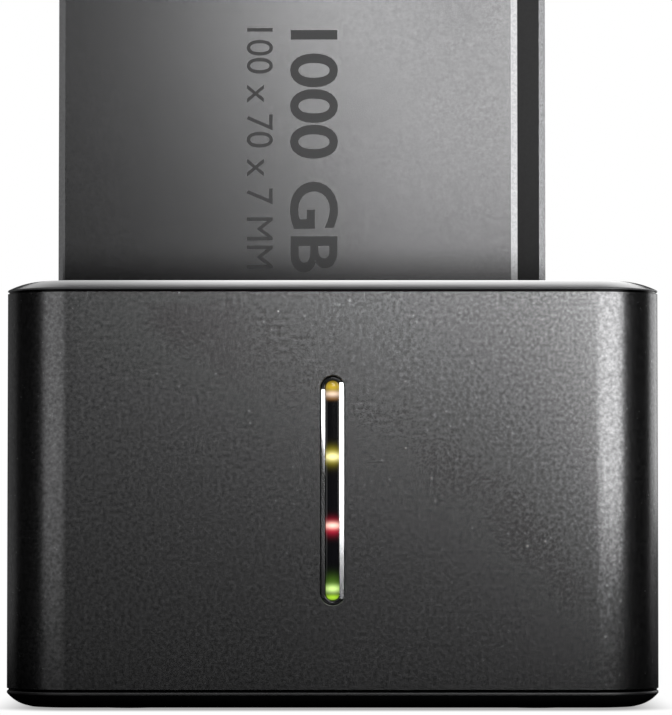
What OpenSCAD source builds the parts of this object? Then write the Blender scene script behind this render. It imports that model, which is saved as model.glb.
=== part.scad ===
// Two-bay docking station for 2.5 inch class drives, with two drives standing in it.
// Millimetres, X to the right, Y to the back, Z up. The origin is under the middle of the feet.

/* [Case] */
// Width of the case from side to side
body_w = 98; // [88:1:110]
// Depth of the case from front to back
body_d = 66; // [59:1:80]
// Radius of the upright corners
corner_r = 10; // [9:0.5:11]
// Height of the sleeve between its two shadow lines
sleeve_h = 59.2; // [58:0.2:70]
// Thickness of the sleeve wall
wall = 2.4; // [2:0.1:2.6]
// Height of each shadow line
seam_gap = 0.3; // [0.2:0.05:0.5]
// Depth of each shadow line
seam_depth = 1; // [0.6:0.1:1.2]

/* [Top cover] */
// Height of the top cover's rim
top_h = 1.6; // [1.4:0.1:3]
// How far the top cover's crown falls towards its rim
top_round = 1.4; // [0.6:0.1:1.5]
// Width of the crown, from the rim inwards
top_crown = 5.8; // [4:0.2:6]
// Depth of the skirt inside the sleeve
skirt_h = 4; // [3:0.5:6]
// Bevel round each bay mouth
mouth_bevel = 0.8; // [0.4:0.1:1]

/* [Base] */
// Height of the base's rim
base_h = 2.4; // [2.2:0.1:4]
// How far the underside draws in from the rim
undercut = 4.2; // [3:0.2:4.4]
// Upright part of the base's rim
base_lip = 0.25; // [0.25:0.05:0.6]
// Bevel on the base's upper edge
base_bevel = 0.15; // [0.05:0.05:0.2]
// How far the feet stand proud of the base
foot_proud = 0.3; // [0.3:0.1:2]
// Diameter of a foot
foot_d = 9.6; // [7:0.2:10]
// Distance of the feet from the middle, side to side
foot_x = 30.6; // [24:0.2:31]
// Distance of the feet from the middle, front to back
foot_y = 20; // [16:0.5:21]

/* [Bays] */
// Depth of a docked drive below the top
bay_depth = 30; // [28:0.5:32]
// Distance from the case front to the front drive's face
bay_setback = 14; // [13.8:0.1:15]
// Distance between the faces of the two drives
bay_pitch = 24; // [22:0.5:24.5]
// Place of the front bay, left of the middle
front_bay_x = -6.8; // [-7:0.1:0]
// How far the rear bay is set to the right of the front bay
bay_stagger = 5.5; // [0:0.1:6]
// Thickness of a bay from front to back
bay_t = 10.2; // [8:0.1:10.2]
// Space at each side of a docked drive
bay_side_gap = 0.45; // [0.3:0.05:0.6]
// Space behind a docked drive
bay_back_gap = 0.35; // [0.2:0.05:0.6]
// Thickness of a well wall
well_wall = 1.2; // [1:0.1:1.3]

/* [Drives] */
// Width of a drive
drive_w = 69.85; // [69:0.05:70]
// Length of a drive
drive_l = 100.2; // [100:0.1:101]
// Thickness of a drive
drive_t = 7; // [7:0.1:8]
// Width of the bevel round a drive's front face
drive_bevel = 1; // [0.3:0.1:1.2]
// Depth of the bevel round a drive's front face
drive_bevel_d = 0.4; // [0.2:0.1:1]
// Thickness of a drive's cover wall
drive_wall = 1; // [0.8:0.1:1.2]
// Thickness of a drive's back plate
drive_back_t = 1.6; // [1.4:0.1:1.8]

/* [Light window] */
// Width of the bezel
bezel_w = 3.5; // [3.2:0.1:5]
// Height of the bezel
bezel_h = 34; // [30:0.5:36]
// Rim width of the bezel
bezel_rim = 0.7; // [0.4:0.05:0.8]
// How far the bezel lies behind the sleeve's face
bezel_recess = 0.05; // [0:0.05:0.4]
// Distance between neighbouring lights
led_pitch = 10.05; // [8:0.05:10.2]
// Height of the window's middle above the middle of the sleeve
light_rise = 0; // [-2:0.1:2]

/* [Boards] */
// Thickness of the circuit boards
board_t = 1.6; // [1.2:0.1:2]
// Height of a drive socket above its board
socket_h = 12.5; // [12:0.1:13]
// Half of the main board's width
board_half_w = 36; // [35:0.2:36.8]

/* [Rear panel] */
// Width of the connector window
window_w = 63; // [60:0.5:63.5]
// Height of the connector window
window_h = 16.5; // [15:0.5:18]
// Thickness of the connector panel
panel_t = 1.6; // [1.2:0.1:2]
// Place of the rocker switch
rocker_x = -21; // [-22:0.1:-19]
// Place of the copy button
copy_x = -6.5; // [-8:0.1:-5]
// Place of the data socket
usb_x = 8; // [6:0.1:9]
// Place of the power inlet
jack_x = 24; // [22:0.1:25]
// Tilt of the rocker at rest
rocker_tilt = 9; // [6:0.5:10]
// Travel of the copy button
copy_travel = 1; // [0.5:0.1:1.2]

/* [Fasteners] */
// Distance of the case screws from the middle, side to side
tie_x = 40; // [39.6:0.1:40]
// Distance of the case screws from the middle, front to back
tie_y = 26; // [26:0.1:26.2]
// Diameter of a case screw
tie_d = 2.9; // [2.5:0.1:3]
// Diameter of a small screw
small_d = 1.9; // [1.6:0.1:2]

/* [Hidden] */
$fn = 64;
// Small overrun of cutting shapes
eps = 0.05;
// Clearances: loose parts, pieces seated in each other, screws in their threads, turning pins
loose = 0.3;
seat = 0.1;
thread = 0.03;
running = 0.05;

// Colours
graphite = [0.23, 0.23, 0.24];
black = [0.09, 0.09, 0.1];
soft_black = [0.06, 0.06, 0.06];
chrome = [0.82, 0.82, 0.84];
steel = [0.62, 0.63, 0.65];
gold = [0.85, 0.68, 0.32];
board_green = [0.08, 0.3, 0.16];
smoke = [0.1, 0.1, 0.12];
drive_grey = [0.5, 0.5, 0.51];

// Places from the middle are given for a case of this width and depth, and move with its sides
drawn_w = 98;
drawn_d = 66;
side_move = (body_w - drawn_w) / 2;
end_move = (body_d - drawn_d) / 2;

// Levels
base_z = foot_proud;
base_top = base_z + base_h;
sleeve_z = base_top + seam_gap;
sleeve_top = sleeve_z + sleeve_h + seam_gap;
top_z = sleeve_top + top_h;
drive_z = top_z - bay_depth;
well_floor_z = drive_z - loose;
board_top = well_floor_z - socket_h;
board_z = board_top - board_t;
light_z = sleeve_z + sleeve_h / 2 + light_rise;
port_z = board_top + 6.45;

// Depths, from the front
front_y = -body_d / 2;
rear_y = body_d / 2;
front_in = front_y + wall;
rear_in = rear_y - wall;
panel_y = rear_in - panel_t;
drive_y = [front_y + bay_setback, front_y + bay_setback + bay_pitch + 2 * end_move];
slot_w = drive_w + 2 * bay_side_gap;

// Case joints
inner_w = body_w - 2 * wall;
inner_d = body_d - 2 * wall;
inner_r = corner_r - wall;
spigot_t = 1.6;
tie_at = [tie_x + side_move, tie_y + end_move];
foot_at = [foot_x + side_move, foot_y + end_move];
tie_boss_d = 7.4;
tie_post_d = 5.2;
tie_boss_top = base_top + 6.3;
tie_head_d = 5.4;
tie_head_h = 2;
tie_seat = base_z + 4;
tie_end = tie_seat + 15;

// Wells and their screws: the bays keep to the left side as far as the right side leaves room
right_room = inner_w / 2 - seat - spigot_t - loose - well_wall - slot_w / 2 - bay_stagger - front_bay_x;
bay_move = min(-side_move, right_room);
bay_x = [front_bay_x + bay_move, front_bay_x + bay_move + bay_stagger];
well_gap = drive_y[1] - drive_y[0] - bay_t - 2 * well_wall;
ear_t = 2;
ear_w = 6;
ear_l = min(5.6, well_gap - 2 * loose);
ear_span = [26, 14];
bay_boss_h = 4;
bay_boss_d = min(5, ear_l - 0.2);
ear_z = sleeve_top - bay_boss_h - ear_t;
small_head_d = 3.6;
small_head_h = 1.3;

// Main board and its screws
board_front = front_y + 9.2;
board_back = panel_y - 0.2;
stand_d = 6;
board_half = board_half_w + side_move;
stand_x = 32.5 + side_move;
board_screw_d = 2.4;
board_head_d = board_screw_d + 2.2;
board_screw_l = 8;
strip_y = (drive_y[0] + drive_y[1] + drive_t) / 2;

// Drive sockets and plugs
socket_shift = 4.8;
socket_l = 44;
socket_t = 6.4;
nose_l = 35;
nose_t = 3.4;
nose_h = 4.9;
pin_pitch = 1.27;
tongue_t = 1.2;
tongue_gap = 2.4;
// The rear standoffs move back as far as the rear socket reaches over them
socket_reach = bay_x[1] + socket_shift + socket_l / 2 + loose + board_head_d / 2 - stand_x;
stand_y = [drive_y[0] - 1, drive_y[1] + 5 + max(0, socket_reach)];
// Places of the two coils: one makes way for the rear socket, one keeps to the board's edge
coil_y = strip_y + 6 + end_move - min(1, max(0, socket_reach));
coil_edge = 9;
data_pins = 7;
power_pins = 15;
data_l = data_pins * pin_pitch + 1.5;
power_l = power_pins * pin_pitch + 1.5;
key_x = [-(power_l + tongue_gap) / 2, (data_l + tongue_gap) / 2];
key_l = [data_l, power_l];
key_pins = [data_pins, power_pins];
tongue_tip = 0.5;
plug_z = 6.3;
contact_w = 0.7;
contact_t = 0.2;
groove_t = 0.3;

// Light column
led_count = 4;
led_side = 2.4;
bar_w = bezel_w - 2 * bezel_rim - 0.1;
bar_h = bezel_h - 2 * bezel_rim - 0.1;
bar_flange_w = bezel_w + 2;
bar_flange_h = bezel_h + 2;
bar_flange_t = 1;
baffle_w = 9;
led_board_y = front_in + 3.5;
led_board_t = 1;
led_screw_z = [light_z - bezel_h / 2 - 4.4, light_z + bezel_h / 2 + 4.4];
led_boss_d = 4.6;
header_z = board_top + 1.27;
header_pins = 5;
header_pitch = 2.54;
header_pin = 0.6;
header_y = [board_front + 0.2, board_front + 2.7];
header_tail = board_front + 1.5;

// Rear parts
window_at_w = window_w + 2 * side_move;
panel_w = 74.4 + 2 * side_move;
panel_h = window_h + 4.4;
panel_screw_x = 34.8 + side_move;
rocker_at = rocker_x - side_move;
copy_at = copy_x - side_move / 2;
jack_at = jack_x + side_move;
panel_screw_l = 5.5;
panel_head_d = 4.2;
usb_wall = 1.4;
usb_w = 8.6 + 2 * usb_wall;
usb_low = 8;
usb_high = 3.2;
usb_d = 16.6;
usb_mouth = 9;
jack_w = 9;
jack_d = 13.6;
jack_bore = 6.3;
jack_nozzle = 8;
switch_w = 13.2;
switch_h = 9.2;
switch_d = 10;
switch_wall = 0.9;
switch_flange = 1.1;
rocker_half = 5.4;
rocker_y = rear_in - 0.8;
trunnion_d = 1.6;
trunnion_l = 0.7;
copy_d = 5.4;
copy_flange_d = 7.4;
plunger_d = 3.2;
copy_switch_w = 6;
copy_switch_y = panel_y - 7.4;
plunger_y = copy_switch_y + 2.5;

// Inside a drive
drive_skin = 0.8;
drive_r = 1.4;
drive_screw_d = 1.5;
drive_screw_x = drive_w / 2 - 3.4;
drive_screw_z = [4.6, drive_l - 4.6];
mount_x = drive_w / 2 - 4.07;
mount_z = [14, 90.6];
mount_d = 2.5;
drive_board_w = 55;
drive_board_z = [8.5, 46];
drive_board_t = 1;
drive_pad = 0.6;
drive_inner = drive_t - drive_back_t;
drive_board_y = drive_inner - drive_pad - drive_board_t;

// Drawing helpers

// A box between two corners, each axis given as [low, high]
module box(x, y, z) {
    translate([x[0], y[0], z[0]])
        cube([x[1] - x[0], y[1] - y[0], z[1] - z[0]]);
}

// A rod along Y
module rod_y(x, z, y, d) {
    translate([x, y[0], z])
        rotate([-90, 0, 0])
            cylinder(d = d, h = y[1] - y[0]);
}

// A rod along Z
module rod_z(x, y, z, d) {
    translate([x, y, z[0]])
        cylinder(d = d, h = z[1] - z[0]);
}

// A flat shape drawn in X and Z, carried along Y
module along_y(y) {
    translate([0, y[1], 0])
        rotate([90, 0, 0])
            linear_extrude(y[1] - y[0])
                children();
}

// A flat shape drawn in Y and Z, carried along X
module along_x(x) {
    translate([x[0], 0, 0])
        rotate([90, 0, 90])
            linear_extrude(x[1] - x[0])
                children();
}

// A quarter disc in one of the four quadrants
module quarter(r, x, y) {
    intersection() {
        circle(r);
        translate([min(0, x * r), min(0, y * r)])
            square(r);
    }
}

// A rectangle with round corners, centred
module round_rect(w, d, r) {
    square([w - 2 * r, d], center = true);
    for (x = [-1, 1]) {
        translate([x * (w - r) / 2, 0])
            square([r, d - 2 * r], center = true);
        for (y = [-1, 1])
            translate([x * (w / 2 - r), y * (d / 2 - r)])
                quarter(r, x, y);
    }
}

// A slot shape standing upright: straight sides with half-round ends
module slot(w, h) {
    square([w, h - w], center = true);
    for (y = [-1, 1])
        translate([0, y * (h - w) / 2])
            circle(d = w);
}

// A round-cornered tube wall
module tube_wall(w, d, r, t, z) {
    translate([0, 0, z[0]])
        linear_extrude(z[1] - z[0])
            difference() {
                round_rect(w, d, r);
                round_rect(w - 2 * t, d - 2 * t, r - t);
            }
}

// A round-cornered plate; the child is the edge section, drawn from the corner's axis outwards
module edged_plate(w, d, r, h) {
    translate([r - w / 2, r - d / 2, 0])
        cube([w - 2 * r, d - 2 * r, h]);
    for (turn = [0, 180])
        rotate([0, 0, turn]) {
            translate([w / 2 - r, 0, 0])
                rotate([90, 0, 0])
                    linear_extrude(d - 2 * r, center = true)
                        children();
            translate([0, d / 2 - r, 0])
                rotate([90, 0, 90])
                    linear_extrude(w - 2 * r, center = true)
                        children();
            translate([w / 2 - r, d / 2 - r, 0])
                rotate_extrude(angle = 90)
                    children();
            translate([r - w / 2, d / 2 - r, 0])
                rotate([0, 0, 90])
                    rotate_extrude(angle = 90)
                        children();
        }
}

// A mouth that widens upwards at 45 degrees
module funnel(x, y, z, grow) {
    intersection() {
        along_y([y[0] - grow, y[1] + grow])
            polygon([[x[0], z], [x[1], z], [x[1] + grow, z + grow], [x[0] - grow, z + grow]]);
        along_x([x[0] - grow, x[1] + grow])
            polygon([[y[0], z], [y[1], z], [y[1] + grow, z + grow], [y[0] - grow, z + grow]]);
    }
}

// A pan-head screw pointing up, its head under the seat at height zero
module screw_up(d, length, head_d, head_h) {
    difference() {
        union() {
            cylinder(d = d, h = length);
            translate([0, 0, -head_h])
                cylinder(d = head_d, h = head_h);
        }
        for (turn = [0, 90])
            rotate([0, 0, turn])
                translate([-head_d * 0.3, -head_d * 0.06, -head_h - eps])
                    cube([head_d * 0.6, head_d * 0.12, head_h * 0.45 + eps]);
    }
}

// Places of the four case screws
module at_ties() {
    for (x = [-tie_at[0], tie_at[0]], y = [-tie_at[1], tie_at[1]])
        translate([x, y, 0])
            children();
}

// Bay sizes for one of the two bays, 0 front and 1 rear
function slot_y(i) = [drive_y[i] + drive_t + bay_back_gap - bay_t,
    drive_y[i] + drive_t + bay_back_gap];
function slot_x(i) = [bay_x[i] - slot_w / 2, bay_x[i] + slot_w / 2];
function grown(v, t) = [v[0] - t, v[1] + t];
function ear_edge(i) = i == 0 ? slot_y(0)[1] + well_wall : slot_y(1)[0] - well_wall;
function ear_y(i) = i == 0 ? ear_edge(0) + ear_l / 2 : ear_edge(1) - ear_l / 2;
function socket_x(i) = bay_x[i] + socket_shift;
function socket_y(i) = drive_y[i] + drive_t / 2;

// Case

// Edge of the top cover: a wide low crown above a thin upright rim
module top_edge() {
    fall = min(top_round, top_h - 0.1);
    crown_r = (top_crown * top_crown + fall * fall) / (2 * fall);
    square([corner_r - top_crown, top_h]);
    translate([corner_r - top_crown, 0])
        square([top_crown, top_h - fall]);
    intersection() {
        translate([corner_r - top_crown, top_h - crown_r])
            circle(crown_r);
        translate([corner_r - top_crown, top_h - fall])
            square([top_crown, fall]);
    }
}

// Edge of the base: an arc underneath, a short upright lip and a bevel
module base_edge() {
    arc_h = base_h - base_lip;
    arc_r = (undercut * undercut + arc_h * arc_h) / (2 * arc_h);
    square([corner_r - undercut, base_h]);
    intersection() {
        translate([corner_r - undercut, arc_r])
            circle(arc_r);
        translate([corner_r - undercut, 0])
            square([undercut, arc_h]);
    }
    polygon([[corner_r - undercut, arc_h], [corner_r, arc_h], [corner_r, base_h - base_bevel],
        [corner_r - base_bevel, base_h], [corner_r - undercut, base_h]]);
}

module outer_sleeve() {
    color(graphite)
        difference() {
            union() {
                tube_wall(body_w, body_d, corner_r, wall, [sleeve_z, sleeve_z + sleeve_h]);
                tube_wall(body_w - 2 * seam_depth, body_d - 2 * seam_depth, corner_r - seam_depth,
                    wall - seam_depth, [base_top, sleeve_top]);
                for (z = led_screw_z)
                    rod_y(0, z, [front_in - eps, led_board_y], led_boss_d);
            }
            along_y([front_y - eps, front_in + eps])
                translate([0, light_z])
                    slot(bezel_w + 0.1, bezel_h + 0.1);
            for (z = led_screw_z)
                rod_y(0, z, [front_y + 1.2, led_board_y + eps], small_d + 2 * thread);
            along_y([rear_in - eps, rear_y + eps])
                translate([0, port_z])
                    round_rect(window_at_w, window_h, 2);
            for (x = [-panel_screw_x, panel_screw_x]) {
                rod_y(x, port_z, [rear_in - eps, rear_y + eps], small_d + 0.4);
                translate([x, rear_y - 1.2, port_z])
                    rotate([-90, 0, 0])
                        cylinder(d1 = small_d + 0.4, d2 = panel_head_d + 0.3, h = 1.2 + eps);
            }
        }
}

module top_cover() {
    skirt_w = inner_w - 2 * seat;
    skirt_d = inner_d - 2 * seat;
    color(black)
        difference() {
            union() {
                translate([0, 0, sleeve_top])
                    edged_plate(body_w, body_d, corner_r, top_h)
                        top_edge();
                difference() {
                    tube_wall(skirt_w, skirt_d, inner_r - seat, spigot_t,
                        [sleeve_top - skirt_h, sleeve_top + eps]);
                    box([-led_boss_d, led_boss_d], [front_y, led_board_y + 1.4],
                        [sleeve_top - skirt_h - 1, sleeve_top]);
                }
                at_ties()
                    rod_z(0, 0, [tie_boss_top, sleeve_top + eps], tie_post_d);
                for (i = [0, 1], side = [-1, 1])
                    rod_z(bay_x[i] + side * ear_span[i], ear_y(i),
                        [sleeve_top - bay_boss_h, sleeve_top + eps], bay_boss_d);
            }
            for (i = [0, 1]) {
                box(slot_x(i), slot_y(i), [sleeve_top - eps, top_z + eps]);
                funnel(slot_x(i), slot_y(i), top_z - mouth_bevel, mouth_bevel + eps);
                for (side = [-1, 1])
                    rod_z(bay_x[i] + side * ear_span[i], ear_y(i),
                        [sleeve_top - bay_boss_h - eps, sleeve_top + 0.6], small_d + 2 * thread);
            }
            at_ties()
                rod_z(0, 0, [tie_boss_top - eps, tie_end + 1], tie_d + 2 * thread);
        }
}

module base_tray() {
    vent_y = [drive_y[0] - 2, drive_y[1] + 2];
    color(black)
        difference() {
            union() {
                translate([0, 0, base_z])
                    edged_plate(body_w, body_d, corner_r, base_h)
                        base_edge();
                tube_wall(inner_w - 2 * seat, inner_d - 2 * seat, inner_r - seat, spigot_t,
                    [base_top - eps, base_top + skirt_h]);
                at_ties()
                    rod_z(0, 0, [base_top - eps, tie_boss_top], tie_boss_d);
                for (x = [-stand_x, stand_x], y = stand_y)
                    rod_z(x, y, [base_top - eps, board_z], stand_d);
            }
            at_ties() {
                rod_z(0, 0, [base_z - eps, tie_seat], tie_head_d + 0.6);
                rod_z(0, 0, [tie_seat - eps, tie_boss_top + eps], tie_d + 0.5);
            }
            for (x = [-stand_x, stand_x], y = stand_y)
                rod_z(x, y, [board_z - board_screw_l, board_z + eps], board_screw_d + 2 * thread);
            for (x = [-foot_at[0], foot_at[0]], y = [-foot_at[1], foot_at[1]])
                rod_z(x, y, [base_z - eps, base_z + 1], foot_d + 0.2);
            for (step = [-3:3])
                box([step * 4 - 0.8, step * 4 + 0.8], vent_y, [base_z - eps, base_top + eps]);
        }
}

module rubber_feet() {
    color(soft_black)
        for (x = [-foot_at[0], foot_at[0]], y = [-foot_at[1], foot_at[1]])
            rod_z(x, y, [0, base_z + 1], foot_d);
}

module case_screws() {
    color(steel)
        at_ties()
            translate([0, 0, tie_seat])
                screw_up(tie_d, tie_end - tie_seat, tie_head_d, tie_head_h);
}

// Bays

module bay_well(i) {
    x = slot_x(i);
    y = slot_y(i);
    hole_x = [socket_x(i) - socket_l / 2, socket_x(i) + socket_l / 2];
    hole_y = [socket_y(i) - socket_t / 2, socket_y(i) + socket_t / 2];
    ear_from = min(ear_edge(i), 2 * ear_y(i) - ear_edge(i));
    color(black)
        difference() {
            union() {
                box(grown(x, well_wall), grown(y, well_wall), [well_floor_z - well_wall, sleeve_top]);
                for (side = [-1, 1])
                    translate([bay_x[i] + side * ear_span[i], 0, 0])
                        box([-ear_w / 2, ear_w / 2], [ear_from - eps, ear_from + ear_l + eps],
                            [ear_z, ear_z + ear_t]);
            }
            box(x, y, [well_floor_z, sleeve_top + eps]);
            box(grown(hole_x, loose), grown(hole_y, loose),
                [well_floor_z - well_wall - eps, well_floor_z + eps]);
            for (side = [-1, 1])
                rod_z(bay_x[i] + side * ear_span[i], ear_y(i),
                    [ear_z - eps, ear_z + ear_t + eps], small_d + 0.4);
        }
}

module front_bay_well() {
    bay_well(0);
}

module rear_bay_well() {
    bay_well(1);
}

module bay_screws() {
    color(steel)
        for (i = [0, 1], side = [-1, 1])
            translate([bay_x[i] + side * ear_span[i], ear_y(i), ear_z])
                screw_up(small_d, ear_t + bay_boss_h, small_head_d, small_head_h);
}

// Light column

module led_bezel() {
    color(chrome)
        along_y([front_y + bezel_recess, front_in])
            translate([0, light_z])
                difference() {
                    slot(bezel_w, bezel_h);
                    slot(bezel_w - 2 * bezel_rim, bezel_h - 2 * bezel_rim);
                }
}

module light_bar() {
    color(smoke)
        union() {
            along_y([front_y + 0.25, front_in + eps])
                translate([0, light_z])
                    slot(bar_w, bar_h);
            along_y([front_in, front_in + bar_flange_t])
                translate([0, light_z])
                    slot(bar_flange_w, bar_flange_h);
        }
}

// Height of one light, counted from the top
function led_z(i) = light_z + ((led_count - 1) / 2 - i) * led_pitch;

module light_baffle() {
    window = min(led_side + 1.2, led_pitch - 1.6);
    color(soft_black)
        difference() {
            box([-baffle_w / 2, baffle_w / 2], [front_in + bar_flange_t, led_board_y],
                [light_z - bar_flange_h / 2, light_z + bar_flange_h / 2]);
            for (i = [0:led_count - 1])
                box([-window / 2, window / 2], [front_in, led_board_y + eps],
                    [led_z(i) - window / 2, led_z(i) + window / 2]);
        }
}

module led_board() {
    color(board_green)
        difference() {
            box([-5.6, 5.6], [led_board_y, led_board_y + led_board_t],
                [min(led_screw_z[0], header_z) - 3, led_screw_z[1] + 3]);
            for (z = led_screw_z)
                rod_y(0, z, [led_board_y - eps, led_board_y + led_board_t + eps], small_d + 0.3);
            for (x = header_places())
                translate([x, led_board_y + led_board_t / 2, header_z])
                    cube([header_pin + 0.1, led_board_t + 2 * eps, header_pin + 0.1], center = true);
        }
}

module led_board_screws() {
    color(steel)
        for (z = led_screw_z)
            translate([0, led_board_y + led_board_t, z])
                rotate([90, 0, 0])
                    screw_up(small_d, led_board_t + 4.2, small_head_d, small_head_h);
}

module led(i, paint) {
    color(paint)
        box([-led_side / 2, led_side / 2], [led_board_y - 1.2, led_board_y],
            [led_z(i) - led_side / 2, led_z(i) + led_side / 2]);
}

module amber_led() {
    led(0, [1, 0.6, 0.1]);
}

module yellow_led() {
    led(1, [1, 0.85, 0.1]);
}

module red_led() {
    led(2, [1, 0.15, 0.2]);
}

module green_led() {
    led(3, [0.3, 0.9, 0.15]);
}

// Places of the header pins, side to side
function header_places() = [for (i = [0:header_pins - 1]) (i - (header_pins - 1) / 2) * header_pitch];

module led_header() {
    color(soft_black)
        difference() {
            box([-header_pins * header_pitch / 2, header_pins * header_pitch / 2], header_y,
                [board_top, board_top + header_pitch]);
            for (x = header_places())
                header_pin_at(x, header_pin + 0.1);
        }
}

// One bent pin: from the light board into the main board
module header_pin_at(x, side) {
    box([x - side / 2, x + side / 2], [led_board_y + 0.2, header_tail + side / 2],
        [header_z - side / 2, header_z + side / 2]);
    box([x - side / 2, x + side / 2], [header_tail - side / 2, header_tail + side / 2],
        [board_z - 1, header_z + side / 2]);
}

module led_header_pins() {
    color(gold)
        for (x = header_places())
            header_pin_at(x, header_pin);
}

// Main board and what stands on it

module main_board() {
    color(board_green)
        difference() {
            box([-board_half, board_half], [board_front, board_back], [board_z, board_top]);
            for (x = [-stand_x, stand_x], y = stand_y)
                rod_z(x, y, [board_z - eps, board_top + eps], board_screw_d + 0.4);
            for (x = header_places())
                header_pin_at(x, header_pin + 0.1);
        }
}

module board_screws() {
    color(steel)
        for (x = [-stand_x, stand_x], y = stand_y)
            translate([x, y, board_top])
                rotate([180, 0, 0])
                    screw_up(board_screw_d, board_t + board_screw_l - 1, board_head_d, 1.6);
}

// A place for one socket contact: key 0 data and 1 power
function pin_x(key, i) = key_x[key] + (i - (key_pins[key] - 1) / 2) * pin_pitch;

module sata_socket(i) {
    slot_half = tongue_t / 2 + 0.2;
    color(soft_black)
        translate([socket_x(i), socket_y(i), 0])
            difference() {
                union() {
                    box([-socket_l / 2, socket_l / 2], [-socket_t / 2, socket_t / 2],
                        [board_top, well_floor_z]);
                    box([-nose_l / 2, nose_l / 2], [-nose_t / 2, nose_t / 2],
                        [well_floor_z - eps, well_floor_z + nose_h]);
                }
                for (key = [0, 1]) {
                    box([key_x[key] - key_l[key] / 2 - 0.2, key_x[key] + key_l[key] / 2 + 0.2],
                        [-slot_half, slot_half], [well_floor_z + 0.2, well_floor_z + nose_h + eps]);
                    for (pin = [0:key_pins[key] - 1])
                        box(grown([pin_x(key, pin), pin_x(key, pin)], contact_w / 2 + 0.05),
                            [slot_half - eps, slot_half + groove_t],
                            [board_top - eps, well_floor_z + nose_h - 0.6]);
                }
            }
}

module sata_contacts(i) {
    slot_half = tongue_t / 2 + 0.2;
    color(gold)
        translate([socket_x(i), socket_y(i), 0])
            for (key = [0, 1], pin = [0:key_pins[key] - 1])
                box(grown([pin_x(key, pin), pin_x(key, pin)], contact_w / 2),
                    [slot_half + groove_t - contact_t - 0.05, slot_half + groove_t - 0.05],
                    [board_top, well_floor_z + nose_h - 0.7]);
}

module front_sata_socket() {
    sata_socket(0);
}

module rear_sata_socket() {
    sata_socket(1);
}

module front_sata_contacts() {
    sata_contacts(0);
}

module rear_sata_contacts() {
    sata_contacts(1);
}

// A chip body on the main board
module chip(x, y, w, d, h) {
    box([x - w / 2, x + w / 2], [y - d / 2, y + d / 2], [board_top, board_top + h]);
}

module bridge_chip() {
    color(black)
        chip(1, strip_y, 9, 9, 1);
}

module support_chips() {
    color(black) {
        chip(-14, strip_y + 2, 5, 4, 1.5);
        chip(13, strip_y - 2, 5, 4, 1.5);
        chip(30, strip_y - 4, 4, 5, 1.2);
    }
}

module capacitors() {
    color(steel)
        for (x = [-24, -31, 23.5])
            rod_z(x, strip_y, [board_top, board_top + 7.7], 6.3);
}

module power_inductors() {
    color(soft_black) {
        chip(29.5, coil_y, 6, 6, 3.6);
        chip(coil_edge - board_half, socket_y(1), 6, 6, 3.6);
    }
}

module crystal() {
    color(steel)
        translate([-7.5, strip_y, board_top])
            linear_extrude(3.4)
                slot(4.4, 10);
}

// Rear panel and its parts

module rear_panel() {
    color(black)
        difference() {
            union() {
                along_y([panel_y, rear_in])
                    translate([0, port_z])
                        square([panel_w, panel_h], center = true);
                for (x = [-panel_screw_x, panel_screw_x])
                    rod_y(x, port_z, [panel_y - 2.4, panel_y + eps], 4);
            }
            for (x = [-panel_screw_x, panel_screw_x])
                rod_y(x, port_z, [panel_y - 2.4 - eps, rear_in + eps], small_d + 2 * thread);
            along_y([panel_y - eps, rear_in + eps])
                usb_outline(usb_wall + 0.2);
            rod_y(jack_at, port_z, [panel_y - eps, rear_in + eps], jack_nozzle + 0.4);
            along_y([panel_y - eps, rear_in + eps])
                translate([rocker_at, port_z])
                    square([switch_w + 0.2, switch_h + 0.2], center = true);
            rod_y(copy_at, port_z, [panel_y - eps, rear_in + eps], copy_d + 2 * seat);
        }
}

module panel_screws() {
    head_h = 1.1;
    color(steel)
        for (x = [-panel_screw_x, panel_screw_x])
            translate([x, rear_y - 0.05, port_z])
                rotate([90, 0, 0])
                    difference() {
                        union() {
                            cylinder(d1 = panel_head_d, d2 = small_d, h = head_h);
                            translate([0, 0, head_h - eps])
                                cylinder(d = small_d, h = panel_screw_l - head_h);
                        }
                        for (turn = [0, 90])
                            rotate([0, 0, turn])
                                translate([-1.2, -0.25, -eps])
                                    cube([2.4, 0.5, 0.55 + eps]);
                    }
}

// The stepped outline of the data socket, grown outwards from its hollow
module usb_outline(grow) {
    low_z = board_top + usb_wall;
    translate([usb_x - 4.3 - grow, low_z - grow])
        square([8.6 + 2 * grow, usb_low + 2 * grow]);
    translate([usb_x - 3 - grow, low_z - grow])
        square([6 + 2 * grow, usb_low + usb_high + 2 * grow]);
}

module usb_shell() {
    mouth_y = rear_in + 0.6;
    color(chrome)
        difference() {
            along_y([mouth_y - usb_d, mouth_y])
                usb_outline(usb_wall);
            along_y([mouth_y - usb_d - eps, mouth_y + eps])
                usb_outline(0);
        }
}

module usb_core() {
    mouth_y = rear_in + 0.6;
    low_z = board_top + usb_wall;
    color(soft_black)
        union() {
            along_y([mouth_y - usb_d, mouth_y - usb_mouth])
                usb_outline(-0.02);
            box([usb_x - 2.8, usb_x + 2.8], [mouth_y - usb_mouth - eps, mouth_y - 1.2],
                [low_z + 2.4, low_z + 5.6]);
            box([usb_x - 2.2, usb_x + 2.2], [mouth_y - usb_mouth - eps, mouth_y - 1.2],
                [low_z + usb_low + 1, low_z + usb_low + 2.2]);
        }
}

module dc_jack() {
    mouth_y = rear_in + 0.6;
    color(soft_black)
        difference() {
            union() {
                box([jack_at - jack_w / 2, jack_at + jack_w / 2], [panel_y - 0.1 - jack_d, panel_y - 0.1],
                    [board_top, port_z + jack_w / 2]);
                rod_y(jack_at, port_z, [panel_y - 0.2, mouth_y], jack_nozzle);
            }
            rod_y(jack_at, port_z, [mouth_y - 9.5, mouth_y + eps], jack_bore);
            rod_y(jack_at, port_z, [mouth_y - 12.5, mouth_y], 1.9 + 2 * thread);
        }
}

module dc_jack_pin() {
    mouth_y = rear_in + 0.6;
    color(chrome)
        rod_y(jack_at, port_z, [mouth_y - 12.5, mouth_y - 1], 1.9);
}

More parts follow.
